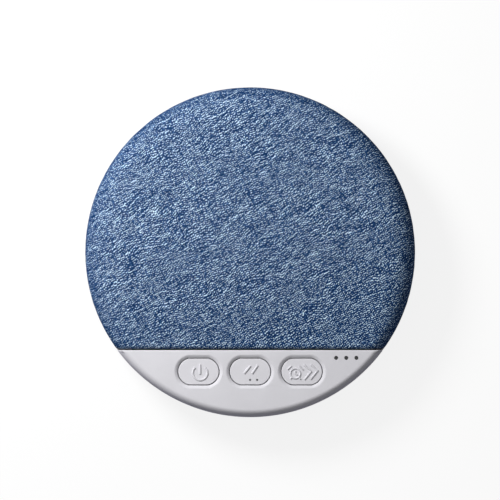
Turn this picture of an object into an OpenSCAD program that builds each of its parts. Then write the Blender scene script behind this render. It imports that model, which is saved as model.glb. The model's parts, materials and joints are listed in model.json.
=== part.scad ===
// Round pillow speaker: a flat puck that lies on its back. A knitted cover fills the upper part of
// the front, and a moulded panel with three keys fills the segment below it.
// Millimetres, +Z out of the front face, origin on the resting face under the centre, keys at -Y.

/* [Body] */
// Outside diameter of the round body
body_d = 100; // [97:0.5:120]
// Rounding of the front edge
front_edge_r = 2.6; // [2.2:0.1:4.2]
// Rounding of the rear edge
rear_edge_r = 4; // [3:0.1:4.4]
// Thickness of the moulded shells
wall = 1.8; // [1.6:0.1:2.2]
// Height of the rear shell's rim above the circuit board
rim_over_board = 0.4; // [0.2:0.1:1]
// Height of the locating lip above the rim
lip_h = 1.2; // [0.8:0.1:2]
// Thickness of the locating lip
lip_t = 1.1; // [0.8:0.1:1.2]
// Depth of the ledge under the locating lip
ledge_h = 2; // [1:0.1:3]
// Side clearance between pieces that drop into each other
fit_gap = 0.2; // [0.1:0.05:0.3]

/* [Cover and grille] */
// Thickness of the knitted cover
cover_t = 0.8; // [0.5:0.1:1.2]
// Glue line between the cover and the grille
glue_gap = 0.1; // [0.05:0.05:0.2]
// Gap between the cover's hem and the rear shell
hem_gap = 0.25; // [0.1:0.05:0.5]
// Rise of the front's crown over the driver
crown_h = 3; // [1:0.1:4]
// Diameter of a sound hole
sound_hole_d = 2.2; // [1.6:0.1:2.6]
// Spacing of the sound holes
sound_pitch = 3.8; // [3.2:0.1:5]

/* [Control panel] */
// Step of the panel's face below the cover
panel_step = 0.3; // [0:0.1:0.6]
// Depth of the panel from its straight edge to the rim
panel_depth = 20.5; // [20.2:0.1:24]
// Gap between the panel and the cover along the straight edge
chord_gap = 0.4; // [0.2:0.05:0.8]
// Thickness of the walls along the straight edge
chord_wall = 1.3; // [1:0.1:1.5]
// Space between those walls and the circuit board
chord_foot = 1.4; // [1:0.1:2.5]
// Diameter of a status light opening
light_d = 1.1; // [0.8:0.1:1.4]
// Spacing of the status lights
light_pitch = 3.07; // [2.6:0.01:3.6]
// Distance of the lights from the straight edge
light_drop = 2.57; // [2.45:0.01:3.2]
// Distance of the last light from the rim
light_rim = 4.6; // [4.2:0.1:6]
// Side clearance of a pin in its hole
pin_gap = 0.05; // [0.03:0.01:0.08]
// Depth of a light pin below the panel's face
pin_sunk = 0.15; // [0:0.05:0.4]

/* [Keys] */
// Length of a key
key_l = 12.25; // [11:0.05:13]
// Width of a key
key_w = 7.85; // [6.5:0.05:7.95]
// Radius of a key's rounded ends
key_end_r = 4; // [3.9:0.05:5]
// Spacing of the keys
key_pitch = 15.6; // [15.2:0.1:16.5]
// Distance of the key row from the straight edge
key_drop = 6.7; // [6.5:0.05:6.8]
// Gap all round a key
key_gap = 0.25; // [0.15:0.05:0.3]
// Travel of a key
key_travel = 0.5; // [0.3:0.05:0.8]
// Bevel along the top edge of a key
key_bevel = 0.15; // [0.1:0.05:0.5]
// Reach of the flange that holds a key under the panel
key_flange = 0.9; // [0.6:0.1:1]
// Thickness of that flange
key_flange_t = 0.8; // [0.6:0.1:1]
// Play between the flange and the panel
key_play = 0.05; // [0.02:0.01:0.1]
// Diameter of the post that presses the switch
key_post_d = 3; // [2:0.1:3.4]
// Diameter of the two pinholes in the middle key
pinhole_d = 0.6; // [0.4:0.05:0.8]
// Spacing of the pinholes
pinhole_pitch = 2.1; // [1.4:0.1:3]
// Distance of the pinholes below the middle of the key
pinhole_drop = 2.5; // [2:0.1:2.8]
// Depth of the pinholes
pinhole_depth = 1.2; // [0.6:0.1:1.6]
// Width of the sloped dish around a key
dish_w = 1.1; // [0.6:0.1:1.2]
// Depth of that dish
dish_depth = 0.6; // [0.3:0.05:0.8]
// Height of a key above the floor of its dish
key_proud = 0.05; // [0:0.05:0.3]

/* [Switches] */
// Side of a square switch
switch_w = 6; // [5:0.1:6.5]
// Height of the switch base
switch_h = 3; // [2.6:0.1:3.4]
// Thickness of the steel cover plate
switch_cover_t = 0.3; // [0.2:0.05:0.4]
// Diameter of the plunger
plunger_d = 3.4; // [3:0.1:3.6]
// Height of the plunger above the cover plate
plunger_out = 1; // [0.9:0.1:1.3]
// Reach of the plunger's collar
collar_reach = 0.4; // [0.3:0.05:0.6]
// Thickness of the collar
collar_t = 0.5; // [0.3:0.05:0.6]
// Side clearance of the plunger
plunger_gap = 0.1; // [0.05:0.05:0.2]
// Thickness of the snap dome
dome_t = 0.12; // [0.08:0.01:0.2]
// Height that the snap dome keeps when it is pressed flat
dome_rest = 0.2; // [0.15:0.05:0.4]

/* [Board] */
// Thickness of the circuit board
board_t = 1.2; // [0.8:0.1:1.6]
// Width of the circuit board
board_w = 72; // [68:1:73]
// Room between the driver's lugs and the circuit board
lug_room = 3.25; // [3:0.05:4]
// Gap between the board and the rear shell's wall
board_gap = 0.6; // [0.4:0.1:1]
// Side of the main chip
chip_w = 6; // [4:0.5:7]
// Side of the two small chips
small_chip_w = 4.2; // [3:0.1:5]
// Thickness of the chips
chip_t = 0.9; // [0.6:0.1:1.2]
// Spacing of the chips
chip_pitch = 9; // [8:0.5:10]
// Distance of the chips from the board's rear edge
chip_inset = 8.6; // [8.2:0.1:9]
// Diameter of a capacitor
cap_d = 4; // [3:0.5:5]
// Height of a capacitor
cap_h = 4; // [3:0.5:4.5]
// Distance of a capacitor from the middle
cap_x = 30; // [28:0.5:32]
// Distance of the capacitors behind the grille's straight wall
cap_back = 5.1; // [4:0.1:6]
// Distance of the crystal can from the middle
crystal_x = 7; // [6:0.5:8]
// Length of the crystal can
crystal_l = 3.2; // [2:0.1:5]
// Width of the crystal can
crystal_w = 2.5; // [1.6:0.1:3.2]
// Height of the crystal can
crystal_h = 0.8; // [0.5:0.1:1.2]
// Distance of the crystal can from the board's rear edge
crystal_inset = 2.5; // [2:0.1:3.2]
// Length of a lead connector
plug_l = 6; // [5:0.5:8]
// Width of a lead connector
plug_w = 4; // [3:0.5:4.5]
// Height of a lead connector
plug_h = 3.4; // [3:0.1:4]
// Distance of the battery's connector from the middle
plug_x = 15; // [13:0.5:17]
// Distance of the lead connectors from the board's rear edge
plug_inset = 1; // [0.5:0.1:1.5]
// Distance of the board screws from the battery's connector
board_screw_out = 6; // [4.5:0.1:7]
// Distance of the board screws from the board's rear edge
board_screw_inset = 4.5; // [3.5:0.1:6]
// Length of a status light chip
led_l = 1.6; // [1:0.1:2]
// Width of a status light chip
led_w = 0.8; // [0.5:0.1:1]
// Height of a status light chip
led_h = 0.65; // [0.4:0.05:0.8]
// Gap between a status light and the light guide
led_gap = 0.3; // [0.2:0.1:0.6]
// Thickness of the light guide's bar
guide_t = 1.5; // [1:0.1:2]
// Width of the light guide's bar
guide_w = 1.8; // [1.6:0.1:2]
// Diameter of a light pipe above its light
pipe_d = 1.6; // [1.2:0.1:1.8]

/* [Charging socket] */
// Width of the socket's shell
usb_w = 9; // [8.9:0.05:9.2]
// Height of the socket's shell
usb_h = 3.2; // [3.1:0.05:3.3]
// Length of the socket's shell
usb_l = 7.4; // [6.5:0.1:8]
// Thickness of the shell's sheet
usb_t = 0.3; // [0.2:0.05:0.35]
// Setback of the socket's mouth from the rim
usb_setback = 0.7; // [0.6:0.1:1]
// Space under the socket
usb_under = 1.8; // [1.5:0.1:2.4]
// Length of the contact block at the back of the socket
usb_block = 2.2; // [1.5:0.1:2.6]
// Thickness of the contact tongue
usb_tongue_t = 0.7; // [0.6:0.05:0.8]
// Width of the contact tongue
usb_tongue_w = 6.7; // [6.5:0.05:6.8]
// Setback of the tongue's tip from the mouth
usb_tip = 0.6; // [0.4:0.1:1]
// Gap between the socket and the screw posts beside it
usb_side_gap = 0.3; // [0.2:0.1:0.8]

/* [Battery] */
// Length of the battery
cell_l = 45; // [36:1:48]
// Width of the battery
cell_w = 35; // [28:1:36]
// Thickness of the battery
cell_t = 3.5; // [3:0.1:6]
// Rounding of the battery's corners
cell_r = 2; // [1:0.1:3]
// Thickness of the adhesive pad
tape_t = 0.3; // [0.2:0.1:1]
// Margin of the pad inside the battery's outline
tape_margin = 6; // [3:0.5:8]
// Height of the ribs around the battery
rib_h = 2.4; // [1.5:0.1:3]
// Thickness of those ribs
rib_t = 1; // [0.8:0.1:1.6]
// Side clearance between the ribs and the battery
rib_gap = 0.3; // [0.2:0.1:0.6]
// Diameter of a lead
lead_d = 1; // [0.8:0.1:1.2]
// Spacing of the two leads of a pair
lead_pitch = 1.6; // [1.4:0.1:2]
// How strongly the battery's leads bend out of their ends
cell_lead_reach = 4; // [3:0.5:6]

/* [Driver] */
// Diameter of the driver's flange
driver_d = 44; // [42:0.5:46]
// Thickness of the driver's flange
flange_t = 1.2; // [1:0.1:1.5]
// Depth of the basket
basket_depth = 3.8; // [3.6:0.1:5]
// Thickness of the basket's sheet
basket_t = 0.8; // [0.6:0.1:0.9]
// Width of the flange outside the basket's cup
flange_w = 2; // [1.8:0.1:2.4]
// Diameter of a vent in the basket
vent_d = 4.4; // [3:0.1:5]
// Number of vents in the basket
vent_count = 8; // [6:1:10]
// Step of the basket's hole outside the yoke's bore
yoke_lap = 0.6; // [0.4:0.1:1]
// Travel of the cone each way
cone_travel = 0.6; // [0.3:0.1:0.7]
// Thickness of the cone
cone_t = 0.3; // [0.2:0.05:0.4]
// Room left between the cone and the basket at full travel
cone_clear = 0.4; // [0.2:0.1:0.5]
// Width of the surround's roll
roll_w = 3.2; // [2.8:0.1:3.4]
// Gap between the roll and the basket's cup
roll_gap = 0.1; // [0.05:0.05:0.3]
// Glue line between the moving pieces of the driver
bond_gap = 0.05; // [0.03:0.01:0.08]
// Thickness of the surround
surround_t = 0.35; // [0.25:0.05:0.4]
// Width of the surround's flat lands
land_w = 0.7; // [0.5:0.1:0.7]
// Radius of the dust cap's dome
cap_dome_r = 30; // [24:1:40]
// Lap of the dust cap over the cone
cap_lap = 1.2; // [0.8:0.1:2]
// Diameter of the voice coil's former
coil_d = 13.5; // [12:0.5:15]
// Thickness of the former
former_t = 0.2; // [0.15:0.05:0.25]
// Thickness of the winding
winding_t = 0.4; // [0.3:0.05:0.45]
// Height of the winding
winding_h = 2.2; // [1.6:0.1:2.4]
// Clearance on each side of the coil
coil_gap = 0.35; // [0.3:0.05:0.5]
// Thickness of the yoke's base
yoke_t = 1.2; // [1:0.1:1.6]
// Thickness of the yoke's wall
yoke_wall = 1.65; // [1.4:0.05:2]
// Thickness of the magnet
magnet_t = 1.2; // [1.2:0.1:2]
// Step between the magnet and the pole plate
magnet_step = 0.4; // [0.2:0.1:1]
// Thickness of the pole plate
plate_t = 1.2; // [0.8:0.1:1.6]
// Thickness of the foam gasket
gasket_t = 0.8; // [0.7:0.1:1.5]
// Width of the foam gasket
gasket_w = 2; // [1.2:0.1:2.2]
// Space between the battery and the driver
motor_gap = 0.7; // [0.5:0.1:3]
// Radius of the driver's screw ears
ear_r = 2.5; // [2.4:0.1:2.8]
// Distance of the ears' holes outside the flange's edge
ear_out = 1.6; // [1.4:0.1:2]
// Bite of the driver's screws into the grille
ear_bite = 0.7; // [0.5:0.1:0.9]
// Length of the driver's terminal strip
strip_l = 8; // [6:0.5:10]
// Height of the terminal strip
strip_h = 2; // [1.5:0.1:2.2]
// Thickness of the terminal strip
strip_t = 1; // [0.8:0.1:1.2]
// Gap between the strip and the basket
strip_gap = 0.1; // [0.05:0.05:0.3]
// Spacing of the solder lugs on the strip
lug_pitch = 2.4; // [2.2:0.1:4]
// Width of a solder lug
lug_w = 1.4; // [1.2:0.1:1.8]
// Thickness of a solder lug
lug_t = 0.4; // [0.3:0.1:0.6]
// How strongly the driver's leads bend out of the lugs
lug_lead_reach = 1.6; // [1.2:0.1:2]
// How strongly the driver's leads bend into their connector
plug_lead_reach = 2.4; // [2:0.1:3]

/* [Screws and grip ring] */
// Shank diameter of the screws
screw_d = 2; // [1.8:0.1:2.2]
// Head diameter of the screws
head_d = 3.8; // [3.4:0.1:4]
// Head height of the screws
head_h = 1.4; // [1:0.1:1.6]
// Width of the screws' six-sided drive across its corners
drive_d = 1.9; // [1.4:0.1:2.2]
// Depth of that drive
drive_depth = 0.7; // [0.4:0.1:0.8]
// Length of a case screw under its head
case_screw_l = 10; // [9:0.5:11]
// Length of a board screw under its head
board_screw_l = 4; // [3:0.5:4.5]
// Clearance between a screw and what it passes through
screw_gap = 0.15; // [0.1:0.05:0.3]
// Clearance between a screw and the boss that it bites into
thread_gap = 0.03; // [0.02:0.01:0.05]
// Radius of a boss
boss_r = 2.4; // [2.2:0.1:2.5]
// Depth of a boss's hole past the screw's tip
pilot_over = 0.5; // [0.3:0.1:0.8]
// Radius of a post in the rear shell
post_r = 3; // [2.8:0.1:3.1]
// Depth of the recess above a case screw's head
head_recess = 2; // [1.8:0.1:2.4]
// Side clearance around a case screw's head
head_gap = 0.3; // [0.2:0.1:0.4]
// Margin between a head's recess and the edge of the grip ring
recess_margin = 0.1; // [0.05:0.05:0.4]
// Angle of the two side screws below the middle
side_angle = 20; // [16:1:21]
// Height that the grip ring stands off the rear face
grip_h = 0.8; // [0.5:0.1:1.5]
// Depth of the grip ring's groove
groove_depth = 0.6; // [0.4:0.1:0.8]
// Width of the grip ring
grip_w = 6; // [5.5:0.1:8]
// Rounding of the grip ring's lower edges
grip_edge_r = 0.4; // [0.2:0.1:0.6]
// Flat margin between the groove and the rear rounding
grip_margin = 0.5; // [0.3:0.1:1.5]

/* [Hidden] */

$fn = 96;
// How far a cut runs past the face that it opens
over = 1;
// How deep a rib, post or boss is rooted in the wall that carries it
root = over / 2;

// Plan of the straight edge and what lines up with it
body_r = body_d / 2;
chord_d = body_r - panel_depth;
panel_y = -chord_d - chord_gap / 2;
panel_in_y = panel_y - chord_wall;
cover_y = -chord_d + chord_gap / 2;
grille_y = cover_y + cover_t + glue_gap;
grille_in_y = grille_y + chord_wall;
shell_in_r = body_r - wall;
grille_in_r = body_r - cover_t - glue_gap - wall;
lip_out_r = grille_in_r - fit_gap;
lip_in_r = lip_out_r - lip_t;
key_y = -chord_d - key_drop;
light_y = -chord_d - light_drop;
driver_y = (body_r - chord_d) / 2;
driver_r = driver_d / 2;
cup_out_r = driver_r - flange_w;
strip_y = driver_y - cup_out_r - strip_gap;
lug_y = strip_y - strip_t - lug_t;
board_back_y = lug_y - lug_room;
cap_y = grille_in_y + cap_back;

// Heights from the resting face up
groove_z = grip_h + groove_depth;
seat_z = groove_z + head_recess;
floor_z = grip_h + wall;
board_z = floor_z + usb_under + usb_h;
board_top_z = board_z + board_t;
split_z = board_top_z + rim_over_board;
chord_foot_z = board_top_z + chord_foot;
switch_top_z = board_top_z + switch_h;
plunger_top_z = switch_top_z + switch_cover_t + plunger_out;
cell_z = floor_z + tape_t;
yoke_z = cell_z + cell_t + motor_gap;
magnet_z = yoke_z + yoke_t;
plate_z = magnet_z + magnet_t;
basket_z = plate_z + plate_t;
flange_top_z = basket_z + basket_depth;
ceiling_z = flange_top_z + gasket_t;
top_z = ceiling_z + wall + glue_gap + cover_t;
crown_z = top_z + crown_h;
panel_z = top_z - panel_step;
dish_z = panel_z - dish_depth;
key_top_z = dish_z + key_proud;

// Half of the straight line at the distance y from the centre, inside a circle
function half_chord(r, y) = sqrt(r * r - y * y);

// Crown: a cap of a large ball, which ends just inside the rounding of the front edge
crown_r = body_r - front_edge_r - driver_y - over;
crown_ball_r = (crown_r * crown_r + crown_h * crown_h) / (2 * crown_h);

// Keys and lights
KEYS = [-1, 0, 1];
function key_x(i) = i * key_pitch;
key_flange_z = ceiling_z - key_play - key_flange_t;
dome_h = key_travel + dome_rest;
pocket_z = switch_top_z - collar_t - dome_h;
pocket_r = plunger_d / 2 + collar_reach + plunger_gap;
LIGHTS = [0, 1, 2];
last_light_x = half_chord(body_r - light_rim, light_y);
function light_x(i) = last_light_x - (2 - i) * light_pitch;

// Grip ring and screws
grip_out_r = body_r - rear_edge_r - grip_margin;
grip_in_r = grip_out_r - grip_w;
head_recess_r = head_d / 2 + head_gap;
screw_r = grip_out_r - head_recess_r - recess_margin;
screw_hole_r = screw_d / 2 + screw_gap;
pilot_r = screw_d / 2 + thread_gap;
panel_screw_x = usb_w / 2 + usb_side_gap + post_r;
PANEL_SCREWS = [for (s = [-1, 1]) [s * panel_screw_x, -half_chord(screw_r, panel_screw_x)]];
GRILLE_SCREWS = [
    for (a = [90, -side_angle, 180 + side_angle]) screw_r * [cos(a), sin(a)]
];
board_screw_x = plug_x + plug_l / 2 + board_screw_out;
BOARD_SCREWS = [for (s = [-1, 1]) [s * board_screw_x, board_back_y - board_screw_inset]];
screw_tip_z = seat_z + case_screw_l;

// Driver
cup_in_r = cup_out_r - basket_t;
coil_r = coil_d / 2;
coil_out_r = coil_r + former_t + winding_t;
plate_r = coil_r - coil_gap;
magnet_r = plate_r - magnet_step;
yoke_in_r = coil_out_r + coil_gap;
yoke_out_r = yoke_in_r + yoke_wall;
basket_hole_r = yoke_in_r + yoke_lap;
coil_z = magnet_z + cone_travel + coil_gap;
cone_in_r = coil_r + former_t + bond_gap;
cone_z = basket_z + basket_t + cone_travel + cone_clear;
seat_step = surround_t + bond_gap;
land_z = flange_top_z - seat_step;
roll_out_r = cup_in_r - roll_gap;
roll_in_r = roll_out_r - roll_w;
cone_out_r = roll_in_r;
cone_land_r = cone_out_r - land_w;
cap_r = cone_in_r + cap_lap;
vent_r = (yoke_out_r + cup_in_r) / 2;
EARS = [for (a = [45:90:315]) (driver_r + ear_out) * [cos(a), sin(a)]];
gasket_out_r = driver_r + ear_out - boss_r - fit_gap;
strip_z = flange_top_z - flange_t - strip_gap - strip_h;
function cone_top_z(r) =
    cone_z + cone_t + (r - cone_in_r) / (cone_land_r - cone_in_r) * (land_z - cone_z - cone_t);

// Leads
lead_sides = 8;
lead_rings = 14;
plug_face_y = board_back_y - plug_inset;
plug_mid_z = board_top_z + plug_h / 2;

// Half section of the front's outer form, drawn in by inset, from z0 up to z1
module front_section(inset, z0, z1) {
    run = body_r - front_edge_r;
    bend_z = z1 + inset - front_edge_r;
    translate([0, z0]) square([run, z1 - z0]);
    translate([run, bend_z]) circle(r = front_edge_r - inset);
    translate([0, z0]) square([body_r - inset, bend_z - z0]);
}

// Crown of the front, drawn in by inset, with a foot that reaches into the front's flat form
module crown(inset) translate([0, driver_y, crown_z - crown_ball_r]) rotate_extrude() intersection() {
    foot = inset + over;
    circle(r = crown_ball_r - inset, $fn = 4 * $fn);
    translate([0, crown_ball_r - crown_h - foot]) square([crown_r + over, crown_h + foot]);
}

// Half section of the rear shell's outer form up to z1, drawn in by inset
module rear_section(inset, z1) {
    run = body_r - rear_edge_r;
    bend_z = grip_h + rear_edge_r;
    translate([0, grip_h + inset]) square([run, z1 - grip_h - inset]);
    translate([run, bend_z]) circle(r = rear_edge_r - inset);
    translate([0, bend_z]) square([body_r - inset, z1 - bend_z]);
}

// Half section of a ring between two radii and two heights
module ring_section(r0, r1, z0, z1) translate([r0, z0]) square([r1 - r0, z1 - z0]);

module ring(r0, r1, z0, z1) rotate_extrude() ring_section(r0, r1, z0, z1);

module rod(x, y, r, z0, z1) translate([x, y, z0]) cylinder(r = r, h = z1 - z0);

// Everything above the line y, and everything below it
module above(y) translate([-body_d, y, -over]) cube([2 * body_d, 2 * body_d, 2 * top_z]);

module below(y) translate([-body_d, y - 2 * body_d, -over]) cube([2 * body_d, 2 * body_d, 2 * top_z]);

// Box that opens the foot of a straight wall between y0 and y1, over the circuit board
module wall_foot(y0, y1, half)
    translate([-half, y0, split_z - over]) cube([2 * half, y1 - y0, chord_foot_z - split_z + over]);

// Outline of a key, grown by g: rounded ends cut by two straight long sides
module key_outline(g) intersection() {
    union() {
        for (s = [-1, 1]) translate([s * (key_l / 2 - key_end_r), 0]) circle(r = key_end_r + g);
        square([key_l - 2 * key_end_r, 2 * (key_end_r + g)], center = true);
    }
    square([key_l + 2 * g + over, key_w + 2 * g], center = true);
}

// Bar along X whose half width goes from w0 at its foot to w1 at its top
module taper_bar(l, w0, w1, h)
    rotate([90, 0, 90]) linear_extrude(height = l, center = true)
        polygon([[-w0, 0], [w0, 0], [w1, h], [-w1, h]]);

// Key outline that goes from a growth of g0 at its foot to g1 at its top
module key_taper(g0, g1, h) intersection() {
    union() {
        for (s = [-1, 1]) translate([s * (key_l / 2 - key_end_r), 0, 0])
            cylinder(r1 = key_end_r + g0, r2 = key_end_r + g1, h = h);
        taper_bar(key_l - 2 * key_end_r, key_end_r + g0, key_end_r + g1, h);
    }
    taper_bar(2 * key_l, key_w / 2 + g0, key_w / 2 + g1, h);
}

// Screw with its head's seat at z = 0 and its shank up +Z
module screw(l) {
    translate([0, 0, -head_h]) difference() {
        cylinder(d = head_d, h = head_h);
        translate([0, 0, -over]) cylinder(d = drive_d, h = over + drive_depth, $fn = 6);
    }
    cylinder(d = screw_d, h = l);
}

// Flat oblong with full round ends, w wide and h high, about the origin
module oblong(w, h) {
    for (s = [-1, 1]) translate([s * (w - h) / 2, 0]) circle(d = h);
    square([w - h, h], center = true);
}

// Oblong bar along +Y from y0, centred on the charging socket's axis
module socket_bar(y0, l, w, h)
    translate([0, y0 + l, board_z - usb_h / 2]) rotate([90, 0, 0]) linear_extrude(height = l) oblong(w, h);

module round_plate(l, w, r, t) linear_extrude(height = t) {
    square([l - 2 * r, w], center = true);
    square([l, w - 2 * r], center = true);
    for (x = [-1, 1], y = [-1, 1]) translate([x * (l / 2 - r), y * (w / 2 - r)]) circle(r = r);
}

// Round lead from a to b, which leaves a along a_out and meets b from b_out
function unit(v) = v / norm(v);
function bend(a, b, c, d, t) =
    pow(1 - t, 3) * a + 3 * pow(1 - t, 2) * t * b + 3 * (1 - t) * t * t * c + pow(t, 3) * d;
function slope(a, b, c, d, t) =
    pow(1 - t, 2) * (b - a) + 2 * (1 - t) * t * (c - b) + t * t * (d - c);
module lead(a, a_out, b, b_out, side) {
    p = a + a_out;
    q = b + b_out;
    m = lead_sides;
    points = [
        for (i = [0:lead_rings])
            let (
                t = i / lead_rings,
                d = unit(slope(a, p, q, b, t)),
                u = unit(side - (side * d) * d),
                v = cross(d, u)
            )
            for (k = [0:m - 1])
                bend(a, p, q, b, t) + lead_d / 2 * (cos(k * 360 / m) * u + sin(k * 360 / m) * v)
    ];
    walls = [
        for (i = [0:lead_rings - 1], k = [0:m - 1])
            let (c = i * m + k, n = i * m + (k + 1) % m)
            each [[c + m, n + m, n], [c + m, n, c]]
    ];
    start = [for (k = [1:m - 2]) [0, k, k + 1]];
    last = lead_rings * m;
    end = [for (k = [1:m - 2]) [last, last + k + 1, last + k]];
    polyhedron(points = points, faces = concat(walls, start, end));
}

module rear_shell() color([0.80, 0.80, 0.82]) difference() {
    union() {
        rotate_extrude() difference() {
            rear_section(0, split_z);
            rear_section(wall, split_z + over);
        }
        intersection() {
            rotate_extrude() {
                ring_section(lip_in_r, shell_in_r + root, split_z - ledge_h, split_z);
                ring_section(lip_in_r, lip_out_r, split_z - ledge_h, split_z + lip_h);
            }
            above(board_back_y + over);
        }
        for (p = PANEL_SCREWS) rod(p.x, p.y, post_r, floor_z - root, board_z);
        for (p = GRILLE_SCREWS) rod(p.x, p.y, post_r, floor_z - root, split_z);
        for (p = BOARD_SCREWS) rod(p.x, p.y, boss_r, floor_z - root, board_z);
        translate([0, driver_y, floor_z - root]) difference() {
            rib_box(rib_gap + rib_t, rib_h + root);
            translate([0, 0, -over]) rib_box(rib_gap, rib_h + 3 * over);
            translate([plug_x - plug_l / 2, -cell_w, -over]) cube([plug_l, cell_w, rib_h + 3 * over]);
        }
    }
    rotate_extrude() ring_section(grip_in_r - fit_gap, grip_out_r + fit_gap, grip_h - over, groove_z);
    for (p = concat(PANEL_SCREWS, GRILLE_SCREWS)) {
        rod(p.x, p.y, head_recess_r, groove_z - over, seat_z);
        rod(p.x, p.y, screw_hole_r, groove_z, split_z + over);
    }
    for (p = BOARD_SCREWS) rod(p.x, p.y, pilot_r, board_z - board_screw_l, board_z + over);
    socket_bar(-body_r - over, wall + 2 * over, usb_w + 2 * fit_gap, usb_h + 2 * fit_gap);
}

// Box around the battery, grown by g
module rib_box(g, h)
    translate([-cell_l / 2 - g, -cell_w / 2 - g, 0]) cube([cell_l + 2 * g, cell_w + 2 * g, h]);

module grip_ring() color([0.25, 0.26, 0.28]) rotate_extrude() {
    ring_section(grip_in_r, grip_out_r, grip_edge_r, groove_z);
    ring_section(grip_in_r + grip_edge_r, grip_out_r - grip_edge_r, 0, groove_z);
    for (r = [grip_in_r + grip_edge_r, grip_out_r - grip_edge_r])
        translate([r, grip_edge_r]) circle(r = grip_edge_r);
}

module case_screws() color([0.75, 0.75, 0.77])
    for (p = concat(PANEL_SCREWS, GRILLE_SCREWS)) translate([p.x, p.y, seat_z]) screw(case_screw_l);

module control_panel() color([0.83, 0.83, 0.85]) difference() {
    union() {
        difference() {
            intersection() {
                rotate_extrude() front_section(0, split_z, panel_z);
                below(panel_y);
            }
            intersection() {
                rod(0, 0, shell_in_r, split_z - over, ceiling_z);
                below(panel_in_y);
            }
            wall_foot(panel_in_y - over, panel_y + over, half_chord(shell_in_r, panel_in_y) - over);
        }
        for (p = PANEL_SCREWS) rod(p.x, p.y, boss_r, board_top_z, ceiling_z + root);
    }
    for (p = PANEL_SCREWS) rod(p.x, p.y, pilot_r, board_top_z - over, screw_tip_z + pilot_over);
    for (i = KEYS) {
        translate([key_x(i), key_y, ceiling_z - over])
            linear_extrude(height = top_z - ceiling_z + 2 * over) key_outline(key_gap);
        translate([key_x(i), key_y, dish_z])
            key_taper(key_gap, key_gap + 2 * dish_w, 2 * dish_depth);
    }
    for (i = LIGHTS) rod(light_x(i), light_y, light_d / 2 + pin_gap, ceiling_z - over, top_z);
}

module speaker_grille() color([0.16, 0.17, 0.19]) difference() {
    union() {
        crown(cover_t + glue_gap);
        difference() {
            intersection() {
                rotate_extrude() front_section(cover_t + glue_gap, split_z, top_z - cover_t - glue_gap);
                above(grille_y);
            }
            intersection() {
                rod(0, 0, grille_in_r, split_z - over, ceiling_z);
                above(grille_in_y);
            }
            wall_foot(grille_y - over, grille_in_y + over, half_chord(grille_in_r, grille_in_y) - over);
        }
        for (p = GRILLE_SCREWS) rod(p.x, p.y, boss_r, split_z, ceiling_z + root);
        for (p = EARS) rod(p.x, driver_y + p.y, boss_r, flange_top_z, ceiling_z + root);
    }
    for (p = GRILLE_SCREWS) rod(p.x, p.y, pilot_r, split_z - over, screw_tip_z + pilot_over);
    for (p = EARS)
        rod(p.x, driver_y + p.y, pilot_r, flange_top_z - over, ceiling_z + ear_bite + thread_gap);
    for (p = sound_holes()) rod(p.x, driver_y + p.y, sound_hole_d / 2, ceiling_z - over, crown_z);
    intersection() {
        crown(cover_t + glue_gap + wall);
        rod(0, driver_y, gasket_out_r - gasket_w - fit_gap, ceiling_z - over, crown_z);
    }
}

// Places of the sound holes over the cone, in staggered rows
function sound_holes() =
    let (n = ceil(cone_out_r / sound_pitch) + 1, row = sound_pitch * sin(60))
    [
        for (j = [-n:n], i = [-n:n])
            let (p = [(i + abs(j % 2) / 2) * sound_pitch, j * row])
            if (norm(p) + sound_hole_d / 2 < cone_out_r) p
    ];

module fabric_cover() color([0.38, 0.47, 0.58]) difference() {
    union() {
        crown(0);
        intersection() {
            rotate_extrude() front_section(0, split_z + hem_gap, top_z);
            above(cover_y);
        }
    }
    crown(cover_t);
    intersection() {
        rotate_extrude() front_section(cover_t, split_z - over, top_z - cover_t);
        above(cover_y + cover_t);
    }
    wall_foot(cover_y - over, cover_y + cover_t + over, half_chord(body_r - cover_t, cover_y) - over);
}

module key(i) translate([key_x(i), key_y, 0]) {
    translate([0, 0, key_flange_z]) linear_extrude(height = key_flange_t) key_outline(key_flange);
    translate([0, 0, key_flange_z])
        linear_extrude(height = key_top_z - key_bevel - key_flange_z) key_outline(0);
    translate([0, 0, key_top_z - key_bevel]) key_taper(0, -key_bevel, key_bevel);
    rod(0, 0, key_post_d / 2, plunger_top_z, key_flange_z + key_flange_t);
}

module power_key() color([0.84, 0.84, 0.86]) key(-1);

module back_key() color([0.84, 0.84, 0.86]) difference() {
    key(0);
    for (s = [0, 1]) translate([s * pinhole_pitch, key_y - pinhole_drop, key_top_z - pinhole_depth])
        cylinder(d = pinhole_d, h = pinhole_depth + over);
}

module alarm_key() color([0.84, 0.84, 0.86]) key(1);

// Square block under a key, from z0 up by h
module switch_block(i, z0, h)
    translate([key_x(i) - switch_w / 2, key_y - switch_w / 2, z0]) cube([switch_w, switch_w, h]);

module switch_base(i) color([0.12, 0.12, 0.13]) difference() {
    switch_block(i, board_top_z, switch_h);
    rod(key_x(i), key_y, pocket_r, pocket_z, switch_top_z + over);
}

module switch_cover(i) color([0.78, 0.78, 0.80]) difference() {
    switch_block(i, switch_top_z, switch_cover_t);
    rod(key_x(i), key_y, plunger_d / 2 + plunger_gap, switch_top_z - over, switch_top_z + over);
}

module switch_dome(i) color([0.72, 0.72, 0.74]) translate([key_x(i), key_y, pocket_z]) {
    span = pocket_r - plunger_gap;
    dome_r = (span * span + dome_h * dome_h) / (2 * dome_h);
    rotate_extrude() intersection() {
        translate([0, dome_h - dome_r]) difference() {
            circle(r = dome_r);
            circle(r = dome_r - dome_t);
        }
        square([span, dome_h]);
    }
}

module switch_plunger(i) color([0.20, 0.20, 0.22]) {
    rod(key_x(i), key_y, plunger_d / 2, switch_top_z - collar_t, plunger_top_z);
    rod(key_x(i), key_y, plunger_d / 2 + collar_reach, switch_top_z - collar_t, switch_top_z);
}

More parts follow.
